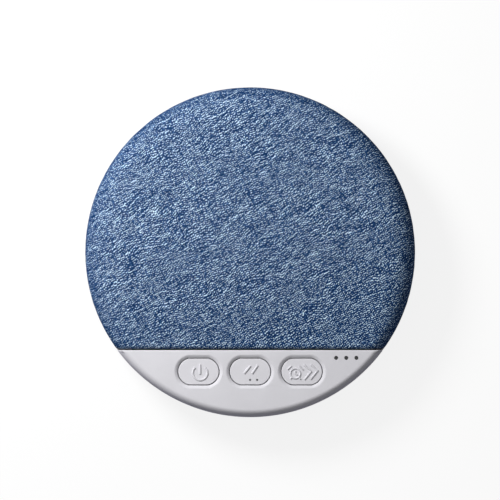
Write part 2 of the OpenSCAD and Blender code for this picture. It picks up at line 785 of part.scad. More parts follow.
module power_switch_base() switch_base(-1);
module back_switch_base() switch_base(0);
module alarm_switch_base() switch_base(1);
module power_switch_cover() switch_cover(-1);
module back_switch_cover() switch_cover(0);
module alarm_switch_cover() switch_cover(1);
module power_switch_dome() switch_dome(-1);
module back_switch_dome() switch_dome(0);
module alarm_switch_dome() switch_dome(1);
module power_switch_plunger() switch_plunger(-1);
module back_switch_plunger() switch_plunger(0);
module alarm_switch_plunger() switch_plunger(1);

module light_guide() color([0.22, 0.23, 0.25]) {
    bar_l = 2 * light_pitch + guide_w;
    translate([light_x(0) - guide_w / 2, light_y - guide_w / 2, ceiling_z - guide_t])
        cube([bar_l, guide_w, guide_t]);
    for (i = LIGHTS) {
        rod(light_x(i), light_y, light_d / 2, ceiling_z - root, panel_z - pin_sunk);
        rod(light_x(i), light_y, pipe_d / 2, board_top_z + led_h + led_gap, ceiling_z - root);
    }
}

module status_lights() color([0.92, 0.90, 0.80]) for (i = LIGHTS)
    translate([light_x(i) - led_l / 2, light_y - led_w / 2, board_top_z]) cube([led_l, led_w, led_h]);

module circuit_board() color([0.10, 0.35, 0.22]) translate([0, 0, board_z]) linear_extrude(height = board_t)
    difference() {
        intersection() {
            circle(r = shell_in_r - board_gap);
            translate([-board_w / 2, -body_r]) square([board_w, body_r + board_back_y]);
        }
        for (p = concat(PANEL_SCREWS, BOARD_SCREWS)) translate(p) circle(r = screw_hole_r);
    }

module board_screws() color([0.75, 0.75, 0.77])
    for (p = BOARD_SCREWS) translate([p.x, p.y, board_top_z]) mirror([0, 0, 1])
        screw(board_screw_l - screw_gap);

module chips() color([0.09, 0.09, 0.10]) for (i = [-1, 0, 1])
    translate([i * chip_pitch, board_back_y - chip_inset, board_top_z]) {
        side = i == 0 ? chip_w : small_chip_w;
        translate([-side / 2, -side / 2, 0]) cube([side, side, chip_t]);
    }

module crystal_can() color([0.80, 0.80, 0.78])
    translate([crystal_x, board_back_y - crystal_inset, board_top_z])
        round_plate(crystal_l, crystal_w, crystal_w / 4, crystal_h);

module capacitors() color([0.70, 0.72, 0.74])
    for (s = [-1, 1])
        rod(s * cap_x, cap_y, cap_d / 2, board_top_z, board_top_z + cap_h);

module usb_shell() color([0.76, 0.77, 0.79]) difference() {
    socket_bar(-body_r + usb_setback, usb_l, usb_w, usb_h);
    socket_bar(-body_r + usb_setback - over, usb_l + 2 * over, usb_w - 2 * usb_t, usb_h - 2 * usb_t);
}

module usb_tongue() color([0.10, 0.10, 0.11]) {
    slack = usb_t + pin_gap;
    mouth_y = -body_r + usb_setback;
    socket_bar(mouth_y + usb_l - usb_block, usb_block, usb_w - 2 * slack, usb_h - 2 * slack);
    translate([-usb_tongue_w / 2, mouth_y + usb_tip, board_z - usb_h / 2 - usb_tongue_t / 2])
        cube([usb_tongue_w, usb_l - usb_block - usb_tip + root, usb_tongue_t]);
}

module battery_cell() color([0.72, 0.74, 0.77])
    translate([0, driver_y, cell_z]) round_plate(cell_l, cell_w, cell_r, cell_t);

module battery_tape() color([0.90, 0.88, 0.80]) translate([0, driver_y, floor_z])
    round_plate(cell_l - 2 * tape_margin, cell_w - 2 * tape_margin, cell_r, tape_t);

module battery_leads() color([0.70, 0.12, 0.12]) for (s = [-1, 1]) {
    x = plug_x + s * lead_pitch / 2;
    start = [x, driver_y - cell_w / 2, cell_z + cell_t / 2];
    reach = [0, cell_lead_reach, 0];
    lead(start, -reach, [x, plug_face_y, plug_mid_z], reach, [1, 0, 0]);
}

module connector(x)
    translate([x - plug_l / 2, plug_face_y - plug_w, board_top_z]) cube([plug_l, plug_w, plug_h]);

module battery_connector() color([0.92, 0.91, 0.87]) connector(plug_x);

module speaker_connector() color([0.92, 0.91, 0.87]) connector(0);

module driver_basket() color([0.30, 0.31, 0.33]) translate([0, driver_y, 0]) difference() {
    union() {
        rotate_extrude() {
            ring_section(basket_hole_r, cup_out_r, basket_z, basket_z + basket_t);
            ring_section(cup_in_r, cup_out_r, basket_z, land_z);
            ring_section(cup_out_r - basket_t / 4, driver_r, flange_top_z - flange_t, flange_top_z);
        }
        for (p = EARS) rod(p.x, p.y, ear_r, flange_top_z - flange_t, flange_top_z);
    }
    ring(0, cup_out_r, land_z, flange_top_z + over);
    for (p = EARS) rod(p.x, p.y, screw_hole_r, basket_z, flange_top_z + over);
    for (k = [1:vent_count]) rotate(k * 360 / vent_count)
        rod(vent_r, 0, vent_d / 2, basket_z - over, basket_z + over);
}

module driver_yoke() color([0.55, 0.56, 0.58]) translate([0, driver_y, 0]) rotate_extrude() {
    ring_section(0, yoke_out_r, yoke_z, magnet_z);
    ring_section(yoke_in_r, yoke_out_r, yoke_z, basket_z);
}

module driver_magnet() color([0.62, 0.62, 0.65]) rod(0, driver_y, magnet_r, magnet_z, plate_z);

module driver_plate() color([0.50, 0.51, 0.53]) rod(0, driver_y, plate_r, plate_z, basket_z);

module driver_former() color([0.72, 0.60, 0.38]) translate([0, driver_y, 0])
    ring(coil_r, coil_r + former_t, coil_z, cone_z + cone_t);

module driver_winding() color([0.72, 0.43, 0.20]) translate([0, driver_y, 0])
    ring(coil_r + former_t, coil_out_r, coil_z, coil_z + winding_h);

module driver_cone() color([0.13, 0.13, 0.14]) translate([0, driver_y, 0]) rotate_extrude() polygon([
    [cone_in_r, cone_z], [cone_in_r, cone_z + cone_t],
    [cone_land_r, land_z], [cone_out_r, land_z], [cone_out_r, land_z - cone_t]
]);

module driver_cap() color([0.18, 0.18, 0.20])
    translate([0, driver_y, cone_top_z(cap_r)]) rotate_extrude() intersection() {
        rise = sqrt(cap_dome_r * cap_dome_r - cap_r * cap_r);
        translate([0, -rise]) difference() {
            circle(r = cap_dome_r, $fn = 4 * $fn);
            circle(r = cap_dome_r - cone_t, $fn = 4 * $fn);
        }
        square([cap_r, cap_r]);
    }

module driver_surround() color([0.08, 0.08, 0.09]) translate([0, driver_y, 0]) rotate_extrude() {
    roll_r = (roll_out_r - roll_in_r) / 2;
    mid_r = (roll_out_r + roll_in_r) / 2;
    ring_section(roll_out_r - surround_t, cup_out_r - pin_gap, land_z, land_z + surround_t);
    ring_section(cone_land_r, roll_in_r + surround_t, land_z, land_z + surround_t);
    intersection() {
        translate([mid_r, land_z + surround_t]) difference() {
            circle(r = roll_r);
            circle(r = roll_r - surround_t);
        }
        translate([roll_in_r, land_z - roll_r]) square([2 * roll_r, roll_r + surround_t]);
    }
}

module driver_gasket() color([0.20, 0.20, 0.21]) translate([0, driver_y, 0])
    ring(gasket_out_r - gasket_w, gasket_out_r, flange_top_z, ceiling_z);

module driver_strip() color([0.60, 0.45, 0.25])
    translate([-strip_l / 2, strip_y - strip_t, strip_z]) cube([strip_l, strip_t, strip_h]);

module driver_lugs() color([0.85, 0.80, 0.60]) for (s = [-1, 1])
    translate([s * lug_pitch / 2 - lug_w / 2, lug_y, strip_z])
        cube([lug_w, lug_t, strip_h]);

module driver_screws() color([0.75, 0.75, 0.77]) for (p = EARS)
    translate([p.x, driver_y + p.y, flange_top_z - flange_t]) screw(flange_t + gasket_t + ear_bite);

module speaker_leads() color([0.15, 0.15, 0.16]) for (s = [-1, 1])
    lead(
        [s * lug_pitch / 2, lug_y, strip_z + strip_h / 2], [0, -lug_lead_reach, 0],
        [s * lead_pitch / 2, plug_face_y, plug_mid_z], [0, plug_lead_reach, 0], [1, 0, 0]
    );

rear_shell();
grip_ring();
case_screws();
control_panel();
speaker_grille();
fabric_cover();
power_key();
back_key();
alarm_key();
power_switch_base();
back_switch_base();
alarm_switch_base();
power_switch_cover();
back_switch_cover();
alarm_switch_cover();
power_switch_dome();
back_switch_dome();
alarm_switch_dome();
power_switch_plunger();
back_switch_plunger();
alarm_switch_plunger();
light_guide();
status_lights();
circuit_board();
board_screws();
chips();
crystal_can();
capacitors();
usb_shell();
usb_tongue();
battery_cell();
battery_tape();
battery_leads();
battery_connector();
driver_basket();
driver_yoke();
driver_magnet();
driver_plate();
driver_former();
driver_winding();
driver_cone();
driver_cap();
driver_surround();
driver_gasket();
driver_strip();
driver_lugs();
driver_screws();
speaker_leads();
speaker_connector();
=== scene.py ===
# %% [markdown]
# # A round pillow speaker
# This lesson dresses a flat round speaker that lies under a pillow. The construction comes in
# as a frame of separate pieces at their real size, and nothing here moves or resizes them.
# What shows from outside is modelled again with soft edges, and each of the other pieces gets
# a finish of its own.

# %% Load the frame
import json
import math

import bmesh
import bpy
import numpy as np
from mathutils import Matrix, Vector, noise

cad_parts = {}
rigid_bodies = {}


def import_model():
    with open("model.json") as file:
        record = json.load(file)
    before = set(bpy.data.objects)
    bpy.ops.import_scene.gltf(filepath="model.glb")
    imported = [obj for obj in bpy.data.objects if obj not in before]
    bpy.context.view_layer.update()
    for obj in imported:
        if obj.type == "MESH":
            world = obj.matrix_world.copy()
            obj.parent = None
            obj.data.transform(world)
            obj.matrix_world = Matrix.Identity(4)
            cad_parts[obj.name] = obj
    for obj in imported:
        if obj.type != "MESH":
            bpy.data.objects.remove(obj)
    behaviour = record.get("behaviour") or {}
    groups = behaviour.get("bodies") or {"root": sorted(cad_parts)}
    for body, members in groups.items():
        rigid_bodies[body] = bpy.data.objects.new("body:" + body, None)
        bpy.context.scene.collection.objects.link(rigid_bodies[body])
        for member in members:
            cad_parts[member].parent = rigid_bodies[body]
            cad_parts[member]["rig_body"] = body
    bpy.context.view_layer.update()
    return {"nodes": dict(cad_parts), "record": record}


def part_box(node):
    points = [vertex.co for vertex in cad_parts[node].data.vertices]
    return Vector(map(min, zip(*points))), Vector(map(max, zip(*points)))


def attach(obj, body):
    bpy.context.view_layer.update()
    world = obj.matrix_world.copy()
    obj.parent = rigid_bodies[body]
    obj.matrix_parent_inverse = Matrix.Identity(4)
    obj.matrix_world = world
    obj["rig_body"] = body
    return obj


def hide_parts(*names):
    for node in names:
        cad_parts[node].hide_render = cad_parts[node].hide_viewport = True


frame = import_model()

# %% [markdown]
# ## Sizes
# A new piece has to sit exactly where the construction says, so its main sizes are read from
# the boxes of the frame's nodes. They could be typed in again, but then a change to the
# construction would leave the looks behind. Only roundings, walls and gaps that no box shows
# are written here, in metres, with MM for a millimetre.

# %% Sizes from the frame
MM = 0.001
body_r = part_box("rear_shell")[1].x
shell_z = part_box("rear_shell")[0].z
split_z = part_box("speaker_grille")[0].z
ceiling_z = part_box("driver_gasket")[1].z
crown_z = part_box("fabric_cover")[1].z
hem_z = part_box("fabric_cover")[0].z
cover_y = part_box("fabric_cover")[0].y
panel_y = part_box("control_panel")[1].y
panel_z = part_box("control_panel")[1].z

wall = 1.8 * MM
front_edge_w = 2.4 * MM
front_edge_h = 3.9 * MM
rear_edge_r = 4 * MM
soft_edge = 0.25 * MM
round_steps = 192
hair = 0.01 * MM
weld = 0.001 * MM
cut_fuzz = 0.0001 * MM
flat_angle = math.radians(0.2)
print("body: %.1f mm across, %.1f mm thick" % (2 * body_r / MM, crown_z / MM))

# %% [markdown]
# ## Hand tools
# Blender's operators act on whatever is selected, so each step starts from a clear selection.
# These few helpers do what hands do with the mouse: pick faces or edges by where they are,
# draw a line point by point, spin it into a round body, and cut one piece with another.

# %% Selecting and naming
def clear():
    """Object mode, with nothing selected."""
    if bpy.context.object and bpy.context.object.mode != "OBJECT":
        bpy.ops.object.mode_set(mode="OBJECT")
    bpy.ops.object.select_all(action="DESELECT")


def hold(obj):
    """Selects one piece alone, in object mode."""
    clear()
    obj.select_set(True)
    bpy.context.view_layer.objects.active = obj


def edit(obj, mode="VERT"):
    """Opens one piece in edit mode, with nothing selected."""
    hold(obj)
    bpy.ops.object.mode_set(mode="EDIT")
    bpy.ops.mesh.select_mode(type=mode)
    bpy.ops.mesh.select_all(action="DESELECT")


def pick(test, kind="verts"):
    """In edit mode, selects the verts, edges or faces that pass the test."""
    mesh = bmesh.from_edit_mesh(bpy.context.object.data)
    for part in getattr(mesh, kind):
        if test(part):
            part.select_set(True)
    mesh.select_flush_mode()
    bmesh.update_edit_mesh(bpy.context.object.data)


def added(name):
    """Names the piece that an operator has just added."""
    bpy.context.object.name = name
    return bpy.context.object


def settle(obj):
    """Puts a piece's place into its mesh, so that its object sits at the origin."""
    hold(obj)
    bpy.ops.object.transform_apply(location=True, rotation=True, scale=True)
    return obj


print("ready: clear, hold, edit, pick, added, settle")


# %% Modifiers and shading
smooth_angle = math.radians(32)


def modify(obj, kind, **settings):
    """Adds a modifier and applies it."""
    hold(obj)
    step = obj.modifiers.new(kind.title(), kind)
    for key, value in settings.items():
        setattr(step, key, value)
    bpy.ops.object.modifier_apply(modifier=step.name)


def combine(obj, tool, operation="DIFFERENCE"):
    """Cuts a piece with a tool, or joins them into one skin, and removes the tool."""
    modify(obj, "TRIANGULATE")
    modify(obj, "BOOLEAN", object=tool, operation=operation, solver="MANIFOLD")
    bpy.data.objects.remove(tool)
    return obj


def smooth(obj):
    """Shades the curved faces smooth and keeps flat ones flat."""
    hold(obj)
    bpy.ops.object.shade_smooth_by_angle(angle=smooth_angle)
    modify(obj, "WEIGHTED_NORMAL", keep_sharp=True, weight=80)


def report(obj):
    """Prints how many triangles a piece has and whether it is closed."""
    mesh = bmesh.new()
    mesh.from_mesh(obj.data)
    loose = sum(1 for e in mesh.edges if not e.is_manifold)
    faces = sum(len(f.verts) - 2 for f in mesh.faces)
    volume = mesh.calc_volume() / (10 * MM) ** 3
    print("%s: %d triangles, %d open edges, %.2f cm3" % (obj.name, faces, loose, volume))
    mesh.free()


print("ready: modify, combine, smooth, report")


# %% Lines and round bodies
def rounded(corners, steps=8):
    """Points of a line through corners (r, z, radius), each rounded by an arc of its radius."""
    line = []
    for i, (r, z, radius) in enumerate(corners):
        here = Vector((r, z))
        if not radius:
            line.append(here)
            continue
        back = (Vector(corners[i - 1][:2]) - here).normalized()
        ahead = (Vector(corners[(i + 1) % len(corners)][:2]) - here).normalized()
        half = back.angle(ahead) / 2
        centre = here + (back + ahead).normalized() * radius / math.sin(half)
        first = here + back * radius / math.tan(half) - centre
        side = here + ahead * radius / math.tan(half) - centre
        turn = math.pi - 2 * half
        square = (side - first * math.cos(turn)) / math.sin(turn)
        for k in range(steps + 1):
            a = turn * k / steps
            line.append(centre + first * math.cos(a) + square * math.sin(a))
    return line


def spun(name, line, closed=False):
    """A round body: one vertex drawn along the line by extruding, then spun about the axis."""
    clear()
    bpy.ops.mesh.primitive_plane_add(size=MM)
    obj = added(name)
    bpy.ops.object.mode_set(mode="EDIT")
    bpy.ops.mesh.select_mode(type="VERT")
    bpy.ops.mesh.select_all(action="SELECT")
    bpy.ops.mesh.merge(type="CENTER")
    bpy.ops.transform.translate(value=(line[0].x, 0, line[0].y))
    for before, here in zip(line, line[1:] + line[:1] if closed else line[1:]):
        step = (here.x - before.x, 0, here.y - before.y)
        bpy.ops.mesh.extrude_vertices_move(TRANSFORM_OT_translate={"value": step})
    bpy.ops.mesh.select_all(action="SELECT")
    bpy.ops.mesh.spin(steps=round_steps, angle=2 * math.pi, center=(0, 0, 0), axis=(0, 0, 1))
    bpy.ops.mesh.select_all(action="SELECT")
    bpy.ops.mesh.remove_doubles(threshold=weld)
    bpy.ops.mesh.normals_make_consistent(inside=False)
    bpy.ops.object.mode_set(mode="OBJECT")
    return obj


def keep_below(obj, y):
    """Cuts a body along the plane at y, keeps what lies below it and closes the cut."""
    edit(obj)
    bpy.ops.mesh.select_all(action="SELECT")
    bpy.ops.mesh.bisect(
        plane_co=(0, y, 0), plane_no=(0, 1, 0), use_fill=True, clear_outer=True, threshold=cut_fuzz)
    bpy.ops.mesh.select_all(action="SELECT")
    bpy.ops.mesh.dissolve_limited(angle_limit=flat_angle)
    bpy.ops.object.mode_set(mode="OBJECT")
    return obj


print("ready: rounded, spun, keep_below")

# %% [markdown]
# ## Rear shell
# The rear shell is a moulded cup: a flat back with a groove for the grip ring, a wide rounding
# and a straight rim. It could be a cylinder with bevels, but a half section that is spun about
# the axis gives every rounding its own radius. The charging socket's mouth is then cut through
# the rim with an oblong block whose outer end flares, so the opening gets a chamfer.

# %% Rear shell
ring_out_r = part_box("grip_ring")[1].x
ring_w = 6 * MM
groove_gap = 0.2 * MM
groove_in_r = 0.15 * MM
groove_out_r = 0.1 * MM
groove_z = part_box("grip_ring")[1].z
floor_z = shell_z + wall

rear_shell = spun("rear_shell_skin", rounded([
    (0, shell_z, 0),
    (ring_out_r - ring_w - groove_gap, shell_z, groove_in_r),
    (ring_out_r - ring_w - groove_gap, groove_z, 0),
    (ring_out_r + groove_gap, groove_z, 0),
    (ring_out_r + groove_gap, shell_z, groove_out_r),
    (body_r, shell_z, rear_edge_r),
    (body_r, split_z, soft_edge),
    (body_r - wall, split_z, soft_edge),
    (body_r - wall, floor_z, rear_edge_r - wall),
    (0, floor_z, 0),
], steps=10))
report(rear_shell)


# %% Mouth of the charging socket
def oblong(name, width, height, y0, y1, z):
    """A bar along Y with full round sides: a cylinder whose two halves are moved apart."""
    clear()
    bpy.ops.mesh.primitive_cylinder_add(
        vertices=48, radius=height / 2, depth=y1 - y0,
        location=(0, (y0 + y1) / 2, z), rotation=(math.pi / 2, 0, 0))
    bar = settle(added(name))
    for side in (-1, 1):
        edit(bar)
        pick(lambda v: v.co.x * side > hair)
        bpy.ops.transform.translate(value=(side * (width - height) / 2, 0, 0))
    bpy.ops.object.mode_set(mode="OBJECT")
    return bar


socket_low, socket_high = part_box("usb_shell")
socket_z = (socket_low.z + socket_high.z) / 2
mouth_gap = 0.2 * MM
mouth_flare = 0.5 * MM
mouth_w = socket_high.x - socket_low.x + 2 * mouth_gap
mouth_h = socket_high.z - socket_low.z + 2 * mouth_gap
mouth = oblong("mouth", mouth_w, mouth_h, -body_r + mouth_flare, -body_r + 3 * wall, socket_z)
edit(mouth, "FACE")
pick(lambda f: f.normal.y < -0.9, "faces")
bpy.ops.mesh.extrude_region_move(TRANSFORM_OT_translate={"value": (0, -2 * mouth_flare, 0)})
bpy.ops.transform.resize(
    value=(1 + 4 * mouth_flare / mouth_w, 1, 1 + 4 * mouth_flare / mouth_h),
    center_override=(0, -body_r, socket_z))
combine(rear_shell, mouth)
smooth(rear_shell)
report(rear_shell)

# %% [markdown]
# ## Grip ring
# A flat silicone ring keeps the speaker from sliding on a bedside table. It is a closed
# section with soft lower edges, spun once round. A torus could be flattened into it, but its
# faces would be spent on a section that is mostly straight.

# %% Grip ring
ring_edge_r = 0.4 * MM
ring_top_r = 0.1 * MM
grip_ring = spun("grip_ring_skin", rounded([
    (ring_out_r - ring_w, 0, ring_edge_r),
    (ring_out_r, 0, ring_edge_r),
    (ring_out_r, groove_z, ring_top_r),
    (ring_out_r - ring_w, groove_z, ring_top_r),
], steps=6), closed=True)
smooth(grip_ring)
report(grip_ring)

# %% [markdown]
# ## Key outline
# The keys, their holes and the dishes round them share one outline: two round ends joined by
# straight sides, which cut the ends a little short. It starts as a cylinder whose halves are
# moved apart, and two cuts then take off the long sides. Growing the radius and the cuts by
# the same amount gives a parallel outline, so one helper serves all three.

# %% Key blank
key_flange = 0.9 * MM
key_end_r = 4 * MM
key_low, key_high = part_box("back_key")
key_l = key_high.x - key_low.x - 2 * key_flange
key_w = key_high.y - key_low.y - 2 * key_flange
key_top_z = key_high.z


def key_blank(name, at, growth, z0, z1):
    """A block with the key outline grown by growth, between two heights, on the point at."""
    clear()
    bpy.ops.mesh.primitive_cylinder_add(
        vertices=128, radius=key_end_r + growth, depth=z1 - z0, location=(0, 0, (z0 + z1) / 2))
    blank = settle(added(name))
    for side in (-1, 1):
        edit(blank)
        pick(lambda v: v.co.x * side > hair)
        bpy.ops.transform.translate(value=(side * (key_l / 2 - key_end_r), 0, 0))
    for side in (-1, 1):
        bpy.ops.mesh.select_all(action="SELECT")
        bpy.ops.mesh.bisect(
            plane_co=(0, side * (key_w / 2 + growth), 0), plane_no=(0, side, 0),
            use_fill=True, clear_outer=True, threshold=cut_fuzz)
    bpy.ops.mesh.select_all(action="SELECT")
    bpy.ops.mesh.remove_doubles(threshold=2 * weld)
    bpy.ops.mesh.dissolve_limited(angle_limit=flat_angle)
    bpy.ops.mesh.normals_make_consistent(inside=False)
    bpy.ops.object.mode_set(mode="OBJECT")
    blank.location = (at.x, at.y, 0)
    return settle(blank)


def middle(node):
    """Middle of a node's box."""
    low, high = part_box(node)
    return (low + high) / 2


print("key: %.2f by %.2f mm" % (key_l / MM, key_w / MM))

# %% [markdown]
# ## Control panel
# The panel fills the segment below the cover. It is spun as a solid body whose front edge is
# a quarter of an ellipse, taller than wide, then cut along the straight line, softened along
# that cut and hollowed from below.
# Each key lies in a shallow dish. The dish could be painted on as bump, but its shadow shows
# the light's direction, so it is real: a stamp is inset step by step along a curve and cut
# out of the panel together with the key's hole.

# %% Control panel body
edge_steps = 20
chord_edge_r = 0.45 * MM
panel_line = rounded([(0, split_z, 0), (body_r, split_z, soft_edge), (body_r, panel_z, 0)])[:-1]
for k in range(edge_steps + 1):
    a = math.pi / 2 * k / edge_steps
    panel_line.append(Vector((
        body_r - front_edge_w * (1 - math.cos(a)), panel_z - front_edge_h * (1 - math.sin(a)))))
panel_line.append(Vector((0, panel_z)))
control_panel = keep_below(spun("control_panel_skin", panel_line), panel_y)


def on_upper_cut(edge):
    """Whether an edge lies on the straight cut, clear of the parting line."""
    return all(abs(v.co.y - panel_y) < hair and v.co.z > split_z + MM for v in edge.verts)


edit(control_panel, "EDGE")
pick(on_upper_cut, "edges")
bpy.ops.mesh.bevel(offset=chord_edge_r, segments=5, profile=0.5)
bpy.ops.object.mode_set(mode="OBJECT")

chord_wall = 1.3 * MM
pocket_r = MM
under_z = split_z - MM
pocket = keep_below(spun("pocket", rounded([
    (0, under_z, 0),
    (body_r - wall, under_z, 0),
    (body_r - wall, ceiling_z, pocket_r),
    (0, ceiling_z, 0),
])), panel_y - chord_wall)
combine(control_panel, pocket)
report(control_panel)

# %% Dishes and key holes
key_gap = 0.25 * MM
key_proud = 0.05 * MM
dish_w = 1.1 * MM
dish_z = key_top_z - key_proud
dish_steps = 12
skim = 0.004 * MM
spare = MM


def sunk(t):
    """How deep the dish is, as a share, at the share t of the way in from its outer edge."""
    return t * t * (3 - t) / 2


for key in ("power_key", "back_key", "alarm_key"):
    stamp = key_blank("stamp", middle(key), key_gap + dish_w, panel_z + skim, panel_z + 2 * spare)
    edit(stamp, "FACE")
    pick(lambda f: f.normal.z < -0.9, "faces")
    depth = panel_z + skim - dish_z
    for k in range(dish_steps):
        drop = depth * (sunk((k + 1) / dish_steps) - sunk(k / dish_steps))
        bpy.ops.mesh.inset(thickness=dish_w / dish_steps, depth=drop)
    hole = (0, 0, ceiling_z - dish_z - spare)
    bpy.ops.mesh.extrude_region_move(TRANSFORM_OT_translate={"value": hole})
    combine(control_panel, stamp)
report(control_panel)

# %% Light holes
guide_low, guide_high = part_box("light_guide")
light_d = 1.2 * MM
light_y = (guide_low.y + guide_high.y) / 2
guide_end = (guide_high.y - guide_low.y) / 2
light_xs = np.linspace(guide_low.x + guide_end, guide_high.x - guide_end, 3)
light_flare = 0.06 * MM
drill_l = 4 * MM
for x in light_xs:
    clear()
    bpy.ops.mesh.primitive_cylinder_add(
        vertices=32, radius=light_d / 2, depth=drill_l,
        location=(x, light_y, panel_z - light_flare - drill_l / 2))
    drill = settle(added("drill"))
    edit(drill, "FACE")
    pick(lambda f: f.normal.z > 0.9, "faces")
    bpy.ops.mesh.extrude_region_move(TRANSFORM_OT_translate={"value": (0, 0, 2 * light_flare)})
    flare = 1 + 4 * light_flare / light_d
    bpy.ops.transform.resize(value=(flare, flare, 1), center_override=(x, light_y, panel_z))
    bpy.ops.object.mode_set(mode="OBJECT")
    combine(control_panel, drill)
smooth(control_panel)
report(control_panel)

# %% [markdown]
# ## Key signs
# The signs stand a little proud of the keys and have their colour, so only light and shade
# show them. Each stroke is a curve with a round section, flattened to a low ridge and made a
# mesh. They are generic signs: a broken ring with a bar, two slanted bars, and an alarm clock
# beside a double arrow.

# %% Sign strokes
stroke_w = 0.68 * MM
stroke_rise = 0.34 * MM


def stroke(points, width=stroke_w, closed=False):
    """A low ridge along points given in millimetres from the middle of a key."""
    clear()
    curve = bpy.data.curves.new("stroke", "CURVE")
    curve.dimensions = "3D"
    curve.bevel_depth = width / 2
    curve.bevel_resolution = 3
    curve.use_fill_caps = True
    line = curve.splines.new("POLY")
    line.points.add(len(points) - 1)
    line.use_cyclic_u = closed
    for spot, (x, y) in zip(line.points, points):
        spot.co = (x * MM, y * MM, 0, 1)
    obj = bpy.data.objects.new("stroke", curve)
    bpy.context.scene.collection.objects.link(obj)
    hold(obj)
    bpy.ops.object.convert(target="MESH")
    edit(obj)
    bpy.ops.mesh.select_all(action="SELECT")
    bpy.ops.mesh.remove_doubles(threshold=weld)
    bpy.ops.transform.resize(value=(1, 1, 2 * stroke_rise / width), center_override=(0, 0, 0))
    bpy.ops.mesh.normals_make_consistent(inside=False)
    bpy.ops.object.mode_set(mode="OBJECT")
    return obj


def ring_points(x, y, r, start=0, end=360, steps=40):
    """Points on an arc about (x, y), from one angle to another, in degrees."""
    angles = [math.radians(start + (end - start) * k / steps) for k in range(steps + 1)]
    return [(x + r * math.cos(a), y + r * math.sin(a)) for a in angles]


def power_sign():
    """Broken ring with a bar through the break."""
    x, y, r = 0.45, -0.36, 2.2
    return [stroke(ring_points(x, y, r, 132, 408)), stroke([(x, y - 0.4), (x, y + 2.5)])]


def back_sign():
    """Two slanted bars."""
    return [stroke([(-1.84, -0.6), (0.12, 1.8)]), stroke([(0.57, -0.6), (2.27, 1.9)])]


def alarm_sign():
    """Alarm clock beside a double arrow."""
    x, y, r = -1.96, -0.57, 1.5
    ear_r, ear_half, foot_in, foot_out = 2.5, 0.85, 1.6, 2.3
    thin = 0.5 * MM
    pieces = [stroke(ring_points(x, y, r)[:-1], thin, closed=True)]
    pieces.append(stroke([(x, y + 0.75), (x, y)], thin))
    pieces.append(stroke([(x, y), (x + 0.55, y - 0.45)], thin))
    for side in (-1, 1):
        tilt = math.radians(90 + side * 45)
        ear = Vector((x + ear_r * math.cos(tilt), y + ear_r * math.sin(tilt)))
        along = Vector((math.sin(tilt), -math.cos(tilt))) * ear_half
        pieces.append(stroke([ear - along, ear + along], thin))
        foot = math.radians(270 + side * 42)
        pieces.append(stroke([
            (x + foot_in * math.cos(foot), y + foot_in * math.sin(foot)),
            (x + foot_out * math.cos(foot), y + foot_out * math.sin(foot))], thin))
    pieces.append(stroke([(0.75, 2.02), (2.84, 0), (0.75, -2.4)]))
    pieces.append(stroke([(2.8, 2.12), (4.8, 0.3), (2.6, -2.35)]))
    return pieces


print("signs drawn from strokes %.2f mm wide" % (stroke_w / MM))

# %% [markdown]
# ## Keys
# A key is a cap with a flange that holds it under the panel and a post that presses the
# switch. The cap's upper edge gets a small rounding, which catches the light as a thin bright
# line. Post, flange and strokes could stay loose meshes pushed into the cap, but joined into
# one skin they make a clean part.

# %% Keys
key_fillet = 0.15 * MM
flange_t = 0.8 * MM
flange_gap = 0.05 * MM
flange_z = ceiling_z - flange_gap - flange_t
post_d = 3 * MM


def key_cap(key, sign):
    """A keycap with its flange, post and sign."""
    at = middle(key)
    cap = key_blank(key + "_cap", at, 0, flange_z + flange_t / 2, key_top_z)
    edit(cap, "EDGE")
    pick(lambda e: all(v.co.z > key_top_z - hair for v in e.verts), "edges")
    bpy.ops.mesh.bevel(offset=key_fillet, segments=4, profile=0.5)
    bpy.ops.object.mode_set(mode="OBJECT")
    flange = key_blank("flange", at, key_flange, flange_z, flange_z + flange_t)
    combine(cap, flange, "UNION")
    clear()
    post_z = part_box(key)[0].z
    bpy.ops.mesh.primitive_cylinder_add(
        vertices=48, radius=post_d / 2, depth=flange_z + flange_t / 2 - post_z,
        location=(at.x, at.y, (flange_z + flange_t / 2 + post_z) / 2))
    combine(cap, settle(added("post")), "UNION")
    for line in sign():
        line.location = (at.x, at.y, key_top_z)
        combine(cap, settle(line), "UNION")
    return cap


keys = {
    "power_key": key_cap("power_key", power_sign),
    "back_key": key_cap("back_key", back_sign),
    "alarm_key": key_cap("alarm_key", alarm_sign),
}
print("caps:", *keys)

# %% Pinholes
pinhole_d = 0.65 * MM
pinhole_l = 3 * MM
pinhole_pitch = 2.1 * MM
pinhole_drop = 2.5 * MM
at = middle("back_key")
for x in (0, pinhole_pitch):
    clear()
    bpy.ops.mesh.primitive_cylinder_add(
        vertices=24, radius=pinhole_d / 2, depth=2 * pinhole_l,
        location=(at.x + x, at.y - pinhole_drop, key_top_z))
    combine(keys["back_key"], settle(added("drill")))
for cap in keys.values():
    smooth(cap)
    report(cap)

# %% [markdown]
# ## Knitted cover
# The cover is one flat piece of knit, stretched over the front, round the rim and down into
# the slit beside the panel. A cloth simulation could pull it tight, but a stretched skin ends
# up on the form below it anyway, so the flat piece is wrapped by rule: a grid is pressed to a
# disc, lifted to a low crown, its rim is rolled down the side over a soft shoulder, and its
# straight edge is rolled over the slit. The grid's flat places become its UV map, so the knit
# follows the cloth round every bend.

